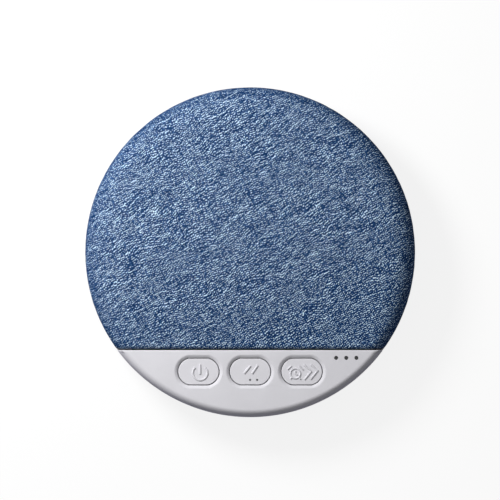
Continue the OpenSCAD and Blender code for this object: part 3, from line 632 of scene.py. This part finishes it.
# %% Section of the cover
cloth_t = 0.7 * MM
cloth_step = 0.5 * MM
slit_r = 1.1 * MM
slit_depth = 7 * MM
shoulder_w = 8 * MM
shoulder_h = 5.2 * MM
shoulder_z = 13.8 * MM
crown = 2.6 * MM
section_steps = 200
inner_r = body_r - shoulder_w
bend = np.sin(np.linspace(0, math.pi / 2, section_steps))[1:]
section_r = np.concatenate([np.linspace(0, inner_r, section_steps), inner_r + shoulder_w * bend])
outward = np.clip((section_r - inner_r) / shoulder_w, 0, 1)
section_z = shoulder_h * np.sqrt(1 - outward ** 2) + crown * (1 - (section_r / body_r) ** 2)
section_run = np.concatenate([[0], np.cumsum(np.hypot(np.diff(section_r), np.diff(section_z)))])
side_run = shoulder_z - hem_z
cloth_r = section_run[-1] + side_run
fold_y = cover_y + slit_r
cloth_low_y = fold_y - slit_r * math.pi / 2 - slit_depth + slit_r

# %% Flat cloth
UV_UNIT = 100 * MM
clear()
cells = round(2 * cloth_r / cloth_step)
bpy.ops.mesh.primitive_grid_add(x_subdivisions=cells, y_subdivisions=cells, size=2 * cloth_r)
cover = added("knit_cover")
flat = np.zeros(3 * len(cover.data.vertices))
cover.data.vertices.foreach_get("co", flat)
flat = flat.reshape(-1, 3)
u, v = flat[:, 0] / cloth_r, flat[:, 1] / cloth_r
flat[:, 0] = cloth_r * u * np.sqrt(1 - v * v / 2)
flat[:, 1] = cloth_r * v * np.sqrt(1 - u * u / 2)
cover.data.vertices.foreach_set("co", flat.ravel())
edit(cover)
bpy.ops.mesh.select_all(action="SELECT")
bpy.ops.mesh.bisect(
    plane_co=(0, cloth_low_y, 0), plane_no=(0, 1, 0), clear_inner=True, threshold=cut_fuzz)
bpy.ops.object.mode_set(mode="OBJECT")

sheet_uv = cover.data.uv_layers.active or cover.data.uv_layers.new(name="cloth")
sheet_uv.name = "cloth"
for loop in cover.data.loops:
    spot = cover.data.vertices[loop.vertex_index].co
    sheet_uv.data[loop.index].uv = (spot.x / UV_UNIT, spot.y / UV_UNIT)
print("grid:", len(cover.data.vertices), "vertices")

# %% Wrap the cloth over the front
brow_run = 30 * MM
brow_z = 18.3 * MM
brow_ease = 0.6 * MM
crinkle = 0.05 * MM
crinkle_mm = (5, 1.7)
sway_mm, sway_run_mm = 2.5, 11
noise_slice = 3


def wrapped(p):
    """Where a point of the flat cloth lies once the cloth is stretched over the front."""
    s = math.hypot(p.x, p.y)
    r = np.interp(s, section_run, section_r)
    x, y = (p.x * r / s, p.y * r / s) if s else (0, 0)
    z = shoulder_z + np.interp(s, section_run, section_z) - max(s - section_run[-1], 0)
    past = fold_y - y
    near = max(0, min(1, 1 + past / brow_run))
    above = z - brow_z
    z -= near ** 2 * (above + math.hypot(above, brow_ease)) / 2
    if past > 0:
        b = min(past / slit_r, math.pi / 2)
        y = fold_y - slit_r * math.sin(b)
        z -= slit_r * (1 - math.cos(b)) + max(0, past - slit_r * math.pi / 2)
    return Vector((x, y, z))


def ripple(p):
    """Height of the soft crinkle in the knit at a point of the flat cloth."""
    q = Vector((p.x * 0.9 + p.y * 0.45, p.y * 0.9 - p.x * 0.45, 0)) / MM
    q.y += sway_mm * noise.noise(q / sway_run_mm)
    return crinkle * noise.noise(Vector((q.x / crinkle_mm[0], q.y / crinkle_mm[1], noise_slice)))


lifts = [ripple(spot.co) for spot in cover.data.vertices]
for spot in cover.data.vertices:
    spot.co = wrapped(spot.co)
cover.data.update()
normals = [n.vector.copy() for n in cover.data.vertex_normals]
for spot, lift, normal in zip(cover.data.vertices, lifts, normals):
    spot.co += normal * (lift - crinkle)
print("crown: %.1f mm" % (max(spot.co.z for spot in cover.data.vertices) / MM))

# %% Hem and thickness
edit(cover)
bpy.ops.mesh.select_all(action="SELECT")
bpy.ops.mesh.bisect(
    plane_co=(0, 0, hem_z), plane_no=(0, 0, 1), clear_inner=True, threshold=cut_fuzz)
bpy.ops.mesh.select_all(action="SELECT")
bpy.ops.mesh.normals_make_consistent(inside=False)
bpy.ops.object.mode_set(mode="OBJECT")
if cover.data.polygons[len(cover.data.polygons) // 2].normal.z < 0:
    edit(cover)
    bpy.ops.mesh.select_all(action="SELECT")
    bpy.ops.mesh.flip_normals()
    bpy.ops.object.mode_set(mode="OBJECT")
modify(
    cover, "SOLIDIFY", thickness=cloth_t, offset=-1, use_even_offset=False, use_quality_normals=True)
hold(cover)
bpy.ops.object.shade_smooth()
report(cover)

# %% [markdown]
# ## Finishes
# Every finish is a network of nodes on the piece's own coordinates. Grain and streaks serve
# many finishes, so each is a group that gives masks, and every material mixes its own colours
# with them. A value that is the same all over, such as shine or metal, is set on the shader.

# %% Node helpers
def put(tree, kind, inputs=None, **settings):
    """Adds a shader node. An input is a value, or a socket to link from."""
    made = tree.nodes.new("ShaderNode" + kind)
    for key, value in settings.items():
        setattr(made, key, value)
    for key, value in (inputs or {}).items():
        if isinstance(value, bpy.types.NodeSocket):
            tree.links.new(value, made.inputs[key])
        else:
            made.inputs[key].default_value = value
    return made


def calc(tree, operation, a, b=0.0, c=0.0):
    """A math node's result."""
    return put(tree, "Math", {0: a, 1: b, 2: c}, operation=operation).outputs[0]


def blendc(tree, mask, first, second):
    """Mixes two colours by a mask."""
    return put(tree, "Mix", {0: mask, 6: first, 7: second}, data_type="RGBA").outputs[2]


def spread(tree, value, low, high, to_low, to_high):
    """Maps a value from one range to another, and stops at the ends."""
    return put(tree, "MapRange", {0: value, 1: low, 2: high, 3: to_low, 4: to_high}).outputs[0]


def srgb(r, g, b):
    """A colour given in display values from 0 to 255, as the shader's linear colour."""
    def linear(value):
        value /= 255
        return value / 12.92 if value <= 0.04045 else ((value + 0.055) / 1.055) ** 2.4
    return (linear(r), linear(g), linear(b), 1)


def new_group(name, inputs, outputs):
    """An empty node group with named sockets, and its two ends."""
    group = bpy.data.node_groups.new(name, "ShaderNodeTree")
    for title, kind, value in inputs:
        socket = group.interface.new_socket(title, in_out="INPUT", socket_type=kind)
        if value is not None:
            socket.default_value = value
    for title in outputs:
        group.interface.new_socket(title, in_out="OUTPUT", socket_type="NodeSocketFloat")
    return group, group.nodes.new("NodeGroupInput"), group.nodes.new("NodeGroupOutput")


print("ready: put, calc, blendc, spread, srgb, new_group")

# %% Grain and streak groups
grain, grain_in, grain_out = new_group(
    "moulded_grain",
    [("Place", "NodeSocketVector", None), ("Size", "NodeSocketFloat", 0.3),
     ("Patch", "NodeSocketFloat", 9.0)],
    ["Fine", "Cloud"])
fine_scale = calc(grain, "DIVIDE", 1.0, grain_in.outputs["Size"])
patch_scale = calc(grain, "DIVIDE", 1.0, grain_in.outputs["Patch"])
spot = grain_in.outputs["Place"]
fine = put(grain, "TexNoise", {"Vector": spot, "Scale": fine_scale, "Detail": 3.0})
cloud = put(grain, "TexNoise", {"Vector": spot, "Scale": patch_scale, "Detail": 4.0})
grain.links.new(fine.outputs[0], grain_out.inputs["Fine"])
grain.links.new(cloud.outputs[0], grain_out.inputs["Cloud"])

streaks, streak_in, streak_out = new_group(
    "drawn_streaks",
    [("Place", "NodeSocketVector", None), ("Stretch", "NodeSocketVector", (1.0, 1.0, 1.0))],
    ["Fine", "Cloud"])
spot = streak_in.outputs["Place"]
drawn = put(
    streaks, "VectorMath", {0: spot, 1: streak_in.outputs["Stretch"]}, operation="MULTIPLY")
lines = put(streaks, "TexNoise", {"Vector": drawn.outputs[0], "Scale": 6.0, "Detail": 4.0})
stain = put(streaks, "TexNoise", {"Vector": spot, "Scale": 0.25, "Detail": 3.0})
streaks.links.new(lines.outputs[0], streak_out.inputs["Fine"])
streaks.links.new(stain.outputs[0], streak_out.inputs["Cloud"])
print("groups:", grain.name, streaks.name)


# %% Kinds of finish
cloud_share, fine_share = 0.6, 0.4
pale_shine = 0.02


def start(name):
    """A new material with its tree and its shader."""
    made = bpy.data.materials.new(name + "_finish")
    made.use_nodes = True
    return made, made.node_tree, made.node_tree.nodes["Principled BSDF"]


def own_place(tree):
    """The piece's own coordinates, in millimetres."""
    place = put(tree, "TexCoord").outputs["Object"]
    return put(tree, "VectorMath", {0: place, "Scale": 1 / MM}, operation="SCALE").outputs[0]


def dress(tree, shader, masks, colour, deep, rough, bump):
    """Colour, roughness and relief from a group's two masks."""
    fine, cloud = masks.outputs["Fine"], masks.outputs["Cloud"]
    tone = calc(tree, "MULTIPLY_ADD", cloud, cloud_share, calc(tree, "MULTIPLY", fine, fine_share))
    tone = spread(tree, tone, 0.35, 0.65, 0.0, 1.0)
    tree.links.new(blendc(tree, tone, deep, colour), shader.inputs["Base Color"])
    tree.links.new(spread(tree, fine, 0.3, 0.7, rough[0], rough[1]), shader.inputs["Roughness"])
    relief = put(tree, "Bump", {"Height": fine, "Strength": bump[0], "Distance": bump[1] * MM})
    tree.links.new(relief.outputs[0], shader.inputs["Normal"])


def moulded(name, colour, deep, rough, size, patch=9.0, bump=(0.15, 0.02)):
    """Plastic, rubber, paper or foam with a fine grain."""
    made, tree, shader = start(name)
    masks = put(tree, "Group", node_tree=grain)
    masks.inputs["Size"].default_value = size
    masks.inputs["Patch"].default_value = patch
    tree.links.new(own_place(tree), masks.inputs["Place"])
    dress(tree, shader, masks, colour, deep, rough, bump)
    return made


def metal(name, colour, deep, rough=(0.25, 0.4), stretch=(0.15, 3.0, 3.0), bump=(0.1, 0.01)):
    """Bare metal with fine drawn streaks."""
    made, tree, shader = start(name)
    masks = put(tree, "Group", node_tree=streaks)
    masks.inputs["Stretch"].default_value = stretch
    tree.links.new(own_place(tree), masks.inputs["Place"])
    dress(tree, shader, masks, colour, deep, rough, bump)
    shader.inputs["Metallic"].default_value = 1.0
    return made


def pale(name, size, bump):
    """The pale grey plastic of the case, matt enough that its edges don't mirror the floor."""
    made = moulded(name, srgb(219, 218, 223), srgb(213, 212, 217), (0.48, 0.58), size, bump=bump)
    shader = made.node_tree.nodes["Principled BSDF"]
    shader.inputs["Specular IOR Level"].default_value = pale_shine
    return made


print("ready: moulded, metal, pale")

# %% [markdown]
# ## Table of finishes
# Most slots differ only in their colours and values, so they are rows of a table: the colour,
# a deeper colour for the patches, the range of roughness, and then the grain's size in
# millimetres or the streaks' stretch. The rest of a row is the patches' size and the relief.

# %% Table of finishes
grained = {
    "grip_silicone": ((74, 76, 80), (58, 60, 64), (0.55, 0.75), 0.15, 6.0, (0.4, 0.02)),
    "dark_plastic": ((46, 48, 52), (36, 38, 42), (0.45, 0.6), 0.25),
    "smoked": ((36, 37, 40), (24, 25, 27), (0.12, 0.2), 0.4, 3.0, (0.03, 0.01)),
    "chip_black": ((34, 34, 36), (24, 24, 26), (0.5, 0.65), 0.1),
    "light_chip": ((240, 236, 214), (226, 214, 170), (0.15, 0.3), 0.4, 1.2),
    "connector_white": ((234, 231, 220), (222, 218, 204), (0.4, 0.5), 0.3),
    "foam": ((60, 60, 62), (38, 38, 40), (0.8, 0.95), 0.35, 2.0, (0.9, 0.1)),
    "cone_paper": ((44, 44, 46), (28, 28, 30), (0.6, 0.8), 0.5, 2.5, (0.5, 0.05)),
    "surround_rubber": ((32, 32, 34), (24, 24, 26), (0.4, 0.55), 0.2),
    "former_film": ((206, 152, 66), (178, 120, 44), (0.15, 0.25), 0.6, 3.0),
    "fibre_board": ((176, 134, 84), (142, 100, 56), (0.5, 0.7), 0.4, 1.5),
    "lead_red": ((190, 36, 34), (160, 24, 24), (0.3, 0.42), 0.3, 3.0),
    "lead_black": ((40, 40, 42), (28, 28, 30), (0.3, 0.42), 0.3, 3.0),
}
streaked = {
    "steel": ((206, 208, 212), (176, 178, 184)),
    "motor_steel": ((168, 170, 174), (132, 134, 140), (0.3, 0.45)),
    "cell_foil": ((198, 202, 208), (166, 170, 178), (0.3, 0.5), (0.6, 0.8, 0.6), (0.4, 0.05)),
    "copper": ((206, 128, 74), (166, 88, 44), (0.2, 0.35), (0.05, 0.05, 1.6), (0.5, 0.05)),
    "tinned": ((214, 210, 196), (184, 178, 160)),
}
finishes = {
    "shell_grey": pale("shell_grey", 0.22, (0.25, 0.03)),
    "panel_grey": pale("panel_grey", 0.18, (0.06, 0.01)),
    "key_grey": pale("key_grey", 0.18, (0.06, 0.01)),
}
for make, table in ((moulded, grained), (metal, streaked)):
    for name, (colour, deep, *values) in table.items():
        finishes[name] = make(name, srgb(*colour), srgb(*deep), *values)
print("plain finishes:", len(finishes))


# %% [markdown]
# ## Circuit board
# A board shows thin tracks under a green lacquer. The tracks could be modelled, but they are
# thinner than a hair, so two bands of a brick pattern draw them in the colour.

# %% Circuit board finish
patch_mm = 5.0
track_t = 0.03 * MM


def lacquered_board():
    """Green lacquer over copper tracks."""
    made, tree, shader = start("board_green")
    place = own_place(tree)
    tracks = put(tree, "TexBrick", {
        "Vector": place, "Scale": 0.5, "Mortar Size": 0.06, "Mortar Smooth": 0.2,
        "Brick Width": 3.2, "Row Height": 0.9}, offset=0.37)
    noisy = {"Vector": place, "Scale": 1 / patch_mm, "Detail": 2.0, "Roughness": 0.5}
    patches = put(tree, "TexNoise", noisy).outputs[0]
    lacquer = blendc(tree, patches, srgb(18, 74, 46), srgb(28, 98, 62))
    coloured = blendc(tree, tracks.outputs["Fac"], lacquer, srgb(66, 138, 92))
    tree.links.new(coloured, shader.inputs["Base Color"])
    tree.links.new(spread(tree, patches, 0.3, 0.7, 0.25, 0.4), shader.inputs["Roughness"])
    raised = {"Height": tracks.outputs["Fac"], "Strength": 0.3, "Distance": track_t}
    relief = put(tree, "Bump", raised)
    tree.links.new(relief.outputs[0], shader.inputs["Normal"])
    return made


finishes["board_green"] = lacquered_board()
print("finish:", finishes["board_green"].name)


# %% [markdown]
# ## Heathered knit
# The cover is knitted from a blue yarn with pale fibres in it, brushed so that fine pale
# threads lie in wavy strands that rise to the right. An image of cloth would look the same from
# near and far and would have a seam somewhere, so the knit is made of noise and waves on the
# flat cloth's own coordinates. These are bent first, so that the strands wander. Strands, the
# dark creases between them, small loops, a fine grain and five sets of thin threads are then
# added up to one level, and a colour ramp turns the level into blue yarn and pale fibre.

# %% Patterns on the cloth
def turned(tree, vector, degrees, along_mm, across_mm):
    """Coordinates turned by an angle and measured in loops of a length and a width."""
    values = {"Vector": vector, "Angle": -math.radians(degrees)}
    spin = put(tree, "VectorRotate", values, rotation_type="Z_AXIS").outputs[0]
    size = (1 / along_mm, 1 / across_mm, 1)
    return put(tree, "VectorMath", {0: spin, 1: size}, operation="MULTIPLY").outputs[0]


def flat_noise(tree, vector, scale=1.0, detail=0.0):
    """Two-dimensional noise node on coordinates of the flat cloth."""
    values = {"Vector": vector, "Scale": scale, "Detail": detail}
    return put(tree, "TexNoise", values, noise_dimensions="2D")


def patches(tree, vector, degrees, along_mm, across_mm):
    """Noise in patches that lie along a direction."""
    return flat_noise(tree, turned(tree, vector, degrees, along_mm, across_mm)).outputs[0]


def loop_field(tree, vector):
    """Small cells that stand for loops: a random tone for each, and its rounded height."""
    values = {"Vector": vector, "Scale": 1.0, "Randomness": 0.9}
    cells = put(tree, "TexVoronoi", values, voronoi_dimensions="2D")
    tone = put(tree, "SeparateColor", {0: cells.outputs["Color"]}).outputs[0]
    return tone, calc(tree, "MULTIPLY_ADD", cells.outputs["Distance"], -1.0, 1.0)


def pick_one(tree, mask, first, second):
    """The first value where the mask is nought and the second where it is one."""
    return put(tree, "Mix", {0: mask, 2: first, 3: second}).outputs[0]


thread_sway = 1.3


def threads(tree, vector, degrees, apart_mm):
    """Thin wavy lines side by side that run along a direction, from nought to one."""
    lanes = turned(tree, vector, degrees, 1.0, apart_mm)
    across = put(tree, "SeparateXYZ", {0: lanes}).outputs["Y"]
    sway = flat_noise(tree, turned(tree, vector, degrees, 2.2, 1.0), detail=1.0).outputs[0]
    across = calc(tree, "MULTIPLY_ADD", sway, thread_sway, across)
    wave = calc(tree, "SINE", calc(tree, "MULTIPLY", across, 2 * math.pi))
    return calc(tree, "POWER", calc(tree, "MULTIPLY_ADD", wave, 0.5, 0.5), 2.0)


print("ready: turned, flat_noise, patches, loop_field, pick_one, threads")


# %% Bent cloth and its level
drift_mm, drift_run_mm = 3.0, 14
wave_mm, wave_turn, wave_run_mm = 1.8, 24, (6, 18)
crease_w = 0.09
base_level = 0.29
thread_middle = 0.375
thread_sets = (
    (18, 0.62, 0.75), (44, 0.6, 0.75), (75, 0.58, 0.45), (118, 0.58, 0.45), (158, 0.57, 0.45))


def bent_cloth(tree, cloth):
    """Cloth coordinates that drift slowly, and wave sideways along the strands."""
    drift = flat_noise(tree, cloth, 1 / drift_run_mm, 2.0).outputs["Color"]
    drift = put(tree, "VectorMath", {0: drift, 1: (0.5, 0.5, 0.5)}, operation="SUBTRACT").outputs[0]
    drift = put(tree, "VectorMath", {0: drift, "Scale": drift_mm}, operation="SCALE").outputs[0]
    bent = put(tree, "VectorMath", {0: cloth, 1: drift}, operation="ADD").outputs[0]
    wave = calc(tree, "SUBTRACT", patches(tree, cloth, wave_turn, *wave_run_mm), 0.5)
    wave = put(tree, "CombineXYZ", {"Y": calc(tree, "MULTIPLY", wave, wave_mm)}).outputs[0]
    return put(tree, "VectorMath", {0: bent, 1: wave}, operation="ADD").outputs[0]


def knit_level(tree, bent):
    """How pale the knit is, about nought to one, and the height of its loops."""
    strand = patches(tree, bent, 32, 3.4, 0.74)
    crease = calc(tree, "ABSOLUTE", calc(tree, "SUBTRACT", patches(tree, bent, 24, 3.6, 1.3), 0.5))
    crease = spread(tree, crease, 0.0, crease_w, 0.0, 1.0)
    tone, height = loop_field(tree, turned(tree, bent, 32, 0.8, 0.21))
    tick_tone, tick_height = loop_field(tree, turned(tree, bent, 116, 0.8, 0.24))
    ticks = spread(tree, patches(tree, bent, 27, 9.0, 2.2), 0.6, 0.63, 0.0, 1.0)
    tone = pick_one(tree, ticks, tone, tick_tone)
    height = pick_one(tree, ticks, height, tick_height)
    fine = patches(tree, bent, 32, 0.42, 0.45)
    bands = patches(tree, bent, 28, 9.0, 1.8)
    fields = [(bands, 0.5, 0.2), (strand, 0.5, 0.7), (crease, 0.72, 0.2), (tone, 0.5, 0.1),
              (height, 0.6, 0.15), (fine, 0.5, 0.7)]
    for degrees, apart_mm, share in thread_sets:
        fields.append((threads(tree, bent, degrees, apart_mm), thread_middle, share))
    level = base_level
    for field, middle_value, share in fields:
        off = calc(tree, "SUBTRACT", field, middle_value)
        level = calc(tree, "MULTIPLY_ADD", off, share, level)
    return level, height


print("ready: bent_cloth, knit_level with", len(thread_sets), "sets of threads")

# %% Heathered knit finish
# Width of the painted shade band at the knit's rim, and how dark it gets there.
rim_shade_w = 4 * MM
rim_shade_share = 0.7
loft_share = 0.6
loft = 0.12 * MM
knit_stops = (
    (0.0, (26, 50, 88)), (0.4, (37, 68, 112)), (0.7, (78, 117, 168)), (1.0, (216, 240, 255)))


def heathered_knit():
    """Blue yarn with pale brushed threads, with painted shade darkening it towards the rim."""
    made, tree, shader = start("knit_blue")
    flat_place = put(tree, "UVMap", uv_map="cloth").outputs[0]
    in_mm = {0: flat_place, "Scale": UV_UNIT / MM}
    cloth = put(tree, "VectorMath", in_mm, operation="SCALE").outputs[0]
    level, height = knit_level(tree, bent_cloth(tree, cloth))
    reach = put(tree, "VectorMath", {0: cloth}, operation="LENGTH").outputs["Value"]
    # Painted shade: the knit's level is darkened towards the rim, where the cover turns away from
    # the light.
    thin = spread(tree, reach, (body_r - rim_shade_w) / MM, section_run[-1] / MM, 1.0, rim_shade_share)
    level = calc(tree, "MULTIPLY", level, thin)
    ramp = put(tree, "ValToRGB", {"Fac": level})
    points = ramp.color_ramp.elements
    while len(points) < len(knit_stops):
        points.new(0.5)
    for point, (spot, shade) in zip(points, knit_stops):
        point.position = spot
        point.color = srgb(*shade)
    tree.links.new(ramp.outputs[0], shader.inputs["Base Color"])
    tree.links.new(spread(tree, level, 0.0, 1.0, 0.95, 0.8), shader.inputs["Roughness"])
    raised = calc(tree, "MULTIPLY_ADD", level, loft_share, height)
    relief = put(tree, "Bump", {"Height": raised, "Strength": 0.35, "Distance": loft})
    tree.links.new(relief.outputs[0], shader.inputs["Normal"])
    shader.inputs["Specular IOR Level"].default_value = 0.0
    return made


finishes["knit_blue"] = heathered_knit()
print("finish:", finishes["knit_blue"].name)

# %% [markdown]
# ## Putting it together
# Each new piece rides on the body of the node that it stands for, takes that node's slot and
# hides the node. Every other node keeps its own mesh and gets the finish of its slot.

# %% Pieces on their bodies
slots = {part["node"]: part["material_slot"] for part in frame["record"]["subparts"]}
skins = {
    "rear_shell": rear_shell, "grip_ring": grip_ring, "control_panel": control_panel,
    "fabric_cover": cover, **keys}
for node, piece in skins.items():
    piece.data.materials.clear()
    piece.data.materials.append(finishes[slots[node]])
    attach(piece, frame["nodes"][node]["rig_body"])
    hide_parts(node)
for node, obj in frame["nodes"].items():
    if node not in skins:
        obj.data.materials.clear()
        obj.data.materials.append(finishes[slots[node]])
print("new pieces:", len(skins), "dressed nodes:", len(frame["nodes"]) - len(skins))

# %% [markdown]
# ## Stage
# The speaker lies on a pale floor under a soft lamp at the upper left, with a dim sky that is
# brighter overhead. To the camera and to mirrors the floor and the sky are white. The floor
# is mostly a glowing white there and partly a surface, so that it keeps the shadow.

# %% Floor
WHITE = (1, 1, 1, 1)
floor_size = 6
floor_drop = 0.02 * MM
floor_bounce = (0.3, 0.3, 0.42, 1)
glow_share = 0.85


def white_ray(tree):
    """One for camera, glossy and transmission rays, and nought for the others."""
    path = put(tree, "LightPath").outputs
    both = calc(tree, "MAXIMUM", path["Is Camera Ray"], path["Is Glossy Ray"])
    return calc(tree, "MAXIMUM", both, path["Is Transmission Ray"])


clear()
bpy.ops.mesh.primitive_plane_add(size=floor_size, location=(0, 0, -floor_drop))
floor = settle(added("floor"))
paint = bpy.data.materials.new("floor_white")
paint.use_nodes = True
tree = paint.node_tree
seen = white_ray(tree)
bounce = blendc(tree, seen, floor_bounce, WHITE)
surface = put(tree, "BsdfDiffuse", {"Color": bounce}).outputs[0]
glow = put(tree, "Emission", {"Color": WHITE, "Strength": 1.0}).outputs[0]
share = calc(tree, "MULTIPLY", seen, glow_share)
both = put(tree, "MixShader", {0: share, 1: surface, 2: glow}).outputs[0]
tree.links.new(both, tree.nodes["Material Output"].inputs["Surface"])
tree.nodes.remove(tree.nodes["Principled BSDF"])
floor.data.materials.append(paint)
print("floor:", floor_size, "m wide")

# %% Sky and lamp
sky_strength = 0.48
lamp_d = 0.12
lamp_power = 1.19
lamp_at = Vector((-0.18, 0.146, 0.225))
world = bpy.data.worlds.new("studio")
bpy.context.scene.world = world
world.use_nodes = True
tree = world.node_tree
height = put(tree, "SeparateXYZ", {0: put(tree, "TexCoord").outputs["Generated"]}).outputs["Z"]
height = calc(tree, "MAXIMUM", height, 0.0)
sky = calc(tree, "MULTIPLY", calc(tree, "MULTIPLY", height, height), sky_strength)
white = white_ray(tree)
level = calc(tree, "MULTIPLY_ADD", calc(tree, "SUBTRACT", 1.0, sky), white, sky)
tree.nodes["Background"].inputs["Color"].default_value = WHITE
tree.links.new(level, tree.nodes["Background"].inputs["Strength"])

lamp_data = bpy.data.lights.new("soft_lamp", "AREA")
lamp_data.shape = "DISK"
lamp_data.size = lamp_d
lamp_data.energy = lamp_power
lamp = bpy.data.objects.new("soft_lamp", lamp_data)
bpy.context.scene.collection.objects.link(lamp)
lamp.location = lamp_at
lamp.rotation_euler = (-lamp_at).to_track_quat("-Z", "Y").to_euler()
print("lamp: %.2f m from the middle" % lamp_at.length)

# %% [markdown]
# ## Camera
# The photograph looks almost straight down, so the camera stands over the front with a long
# lens. It leans a little towards the panel's side, where a narrow strip of the rim shows. Its
# distance follows from the width of the view and the lens, and it aims a little beside the
# centre, as the photograph does.

# %% Camera
view_w = 151.9 * MM
view_lean = math.radians(1.2)
view_at = Vector((-0.05 * MM, 0.73 * MM, split_z))
lens_mm = 400
sensor_mm = 36
camera_data = bpy.data.cameras.new("camera")
camera_data.lens = lens_mm
camera_data.sensor_width = sensor_mm
camera = bpy.data.objects.new("camera", camera_data)
bpy.context.scene.collection.objects.link(camera)
away = Vector((0, -math.sin(view_lean), math.cos(view_lean)))
camera.location = view_at + away * view_w * lens_mm / sensor_mm
camera.rotation_euler = (view_lean, 0, 0)
bpy.context.scene.camera = camera
bpy.context.scene.view_settings.view_transform = "Standard"
print("camera: %.0f mm above the floor" % (camera.location.z / MM))
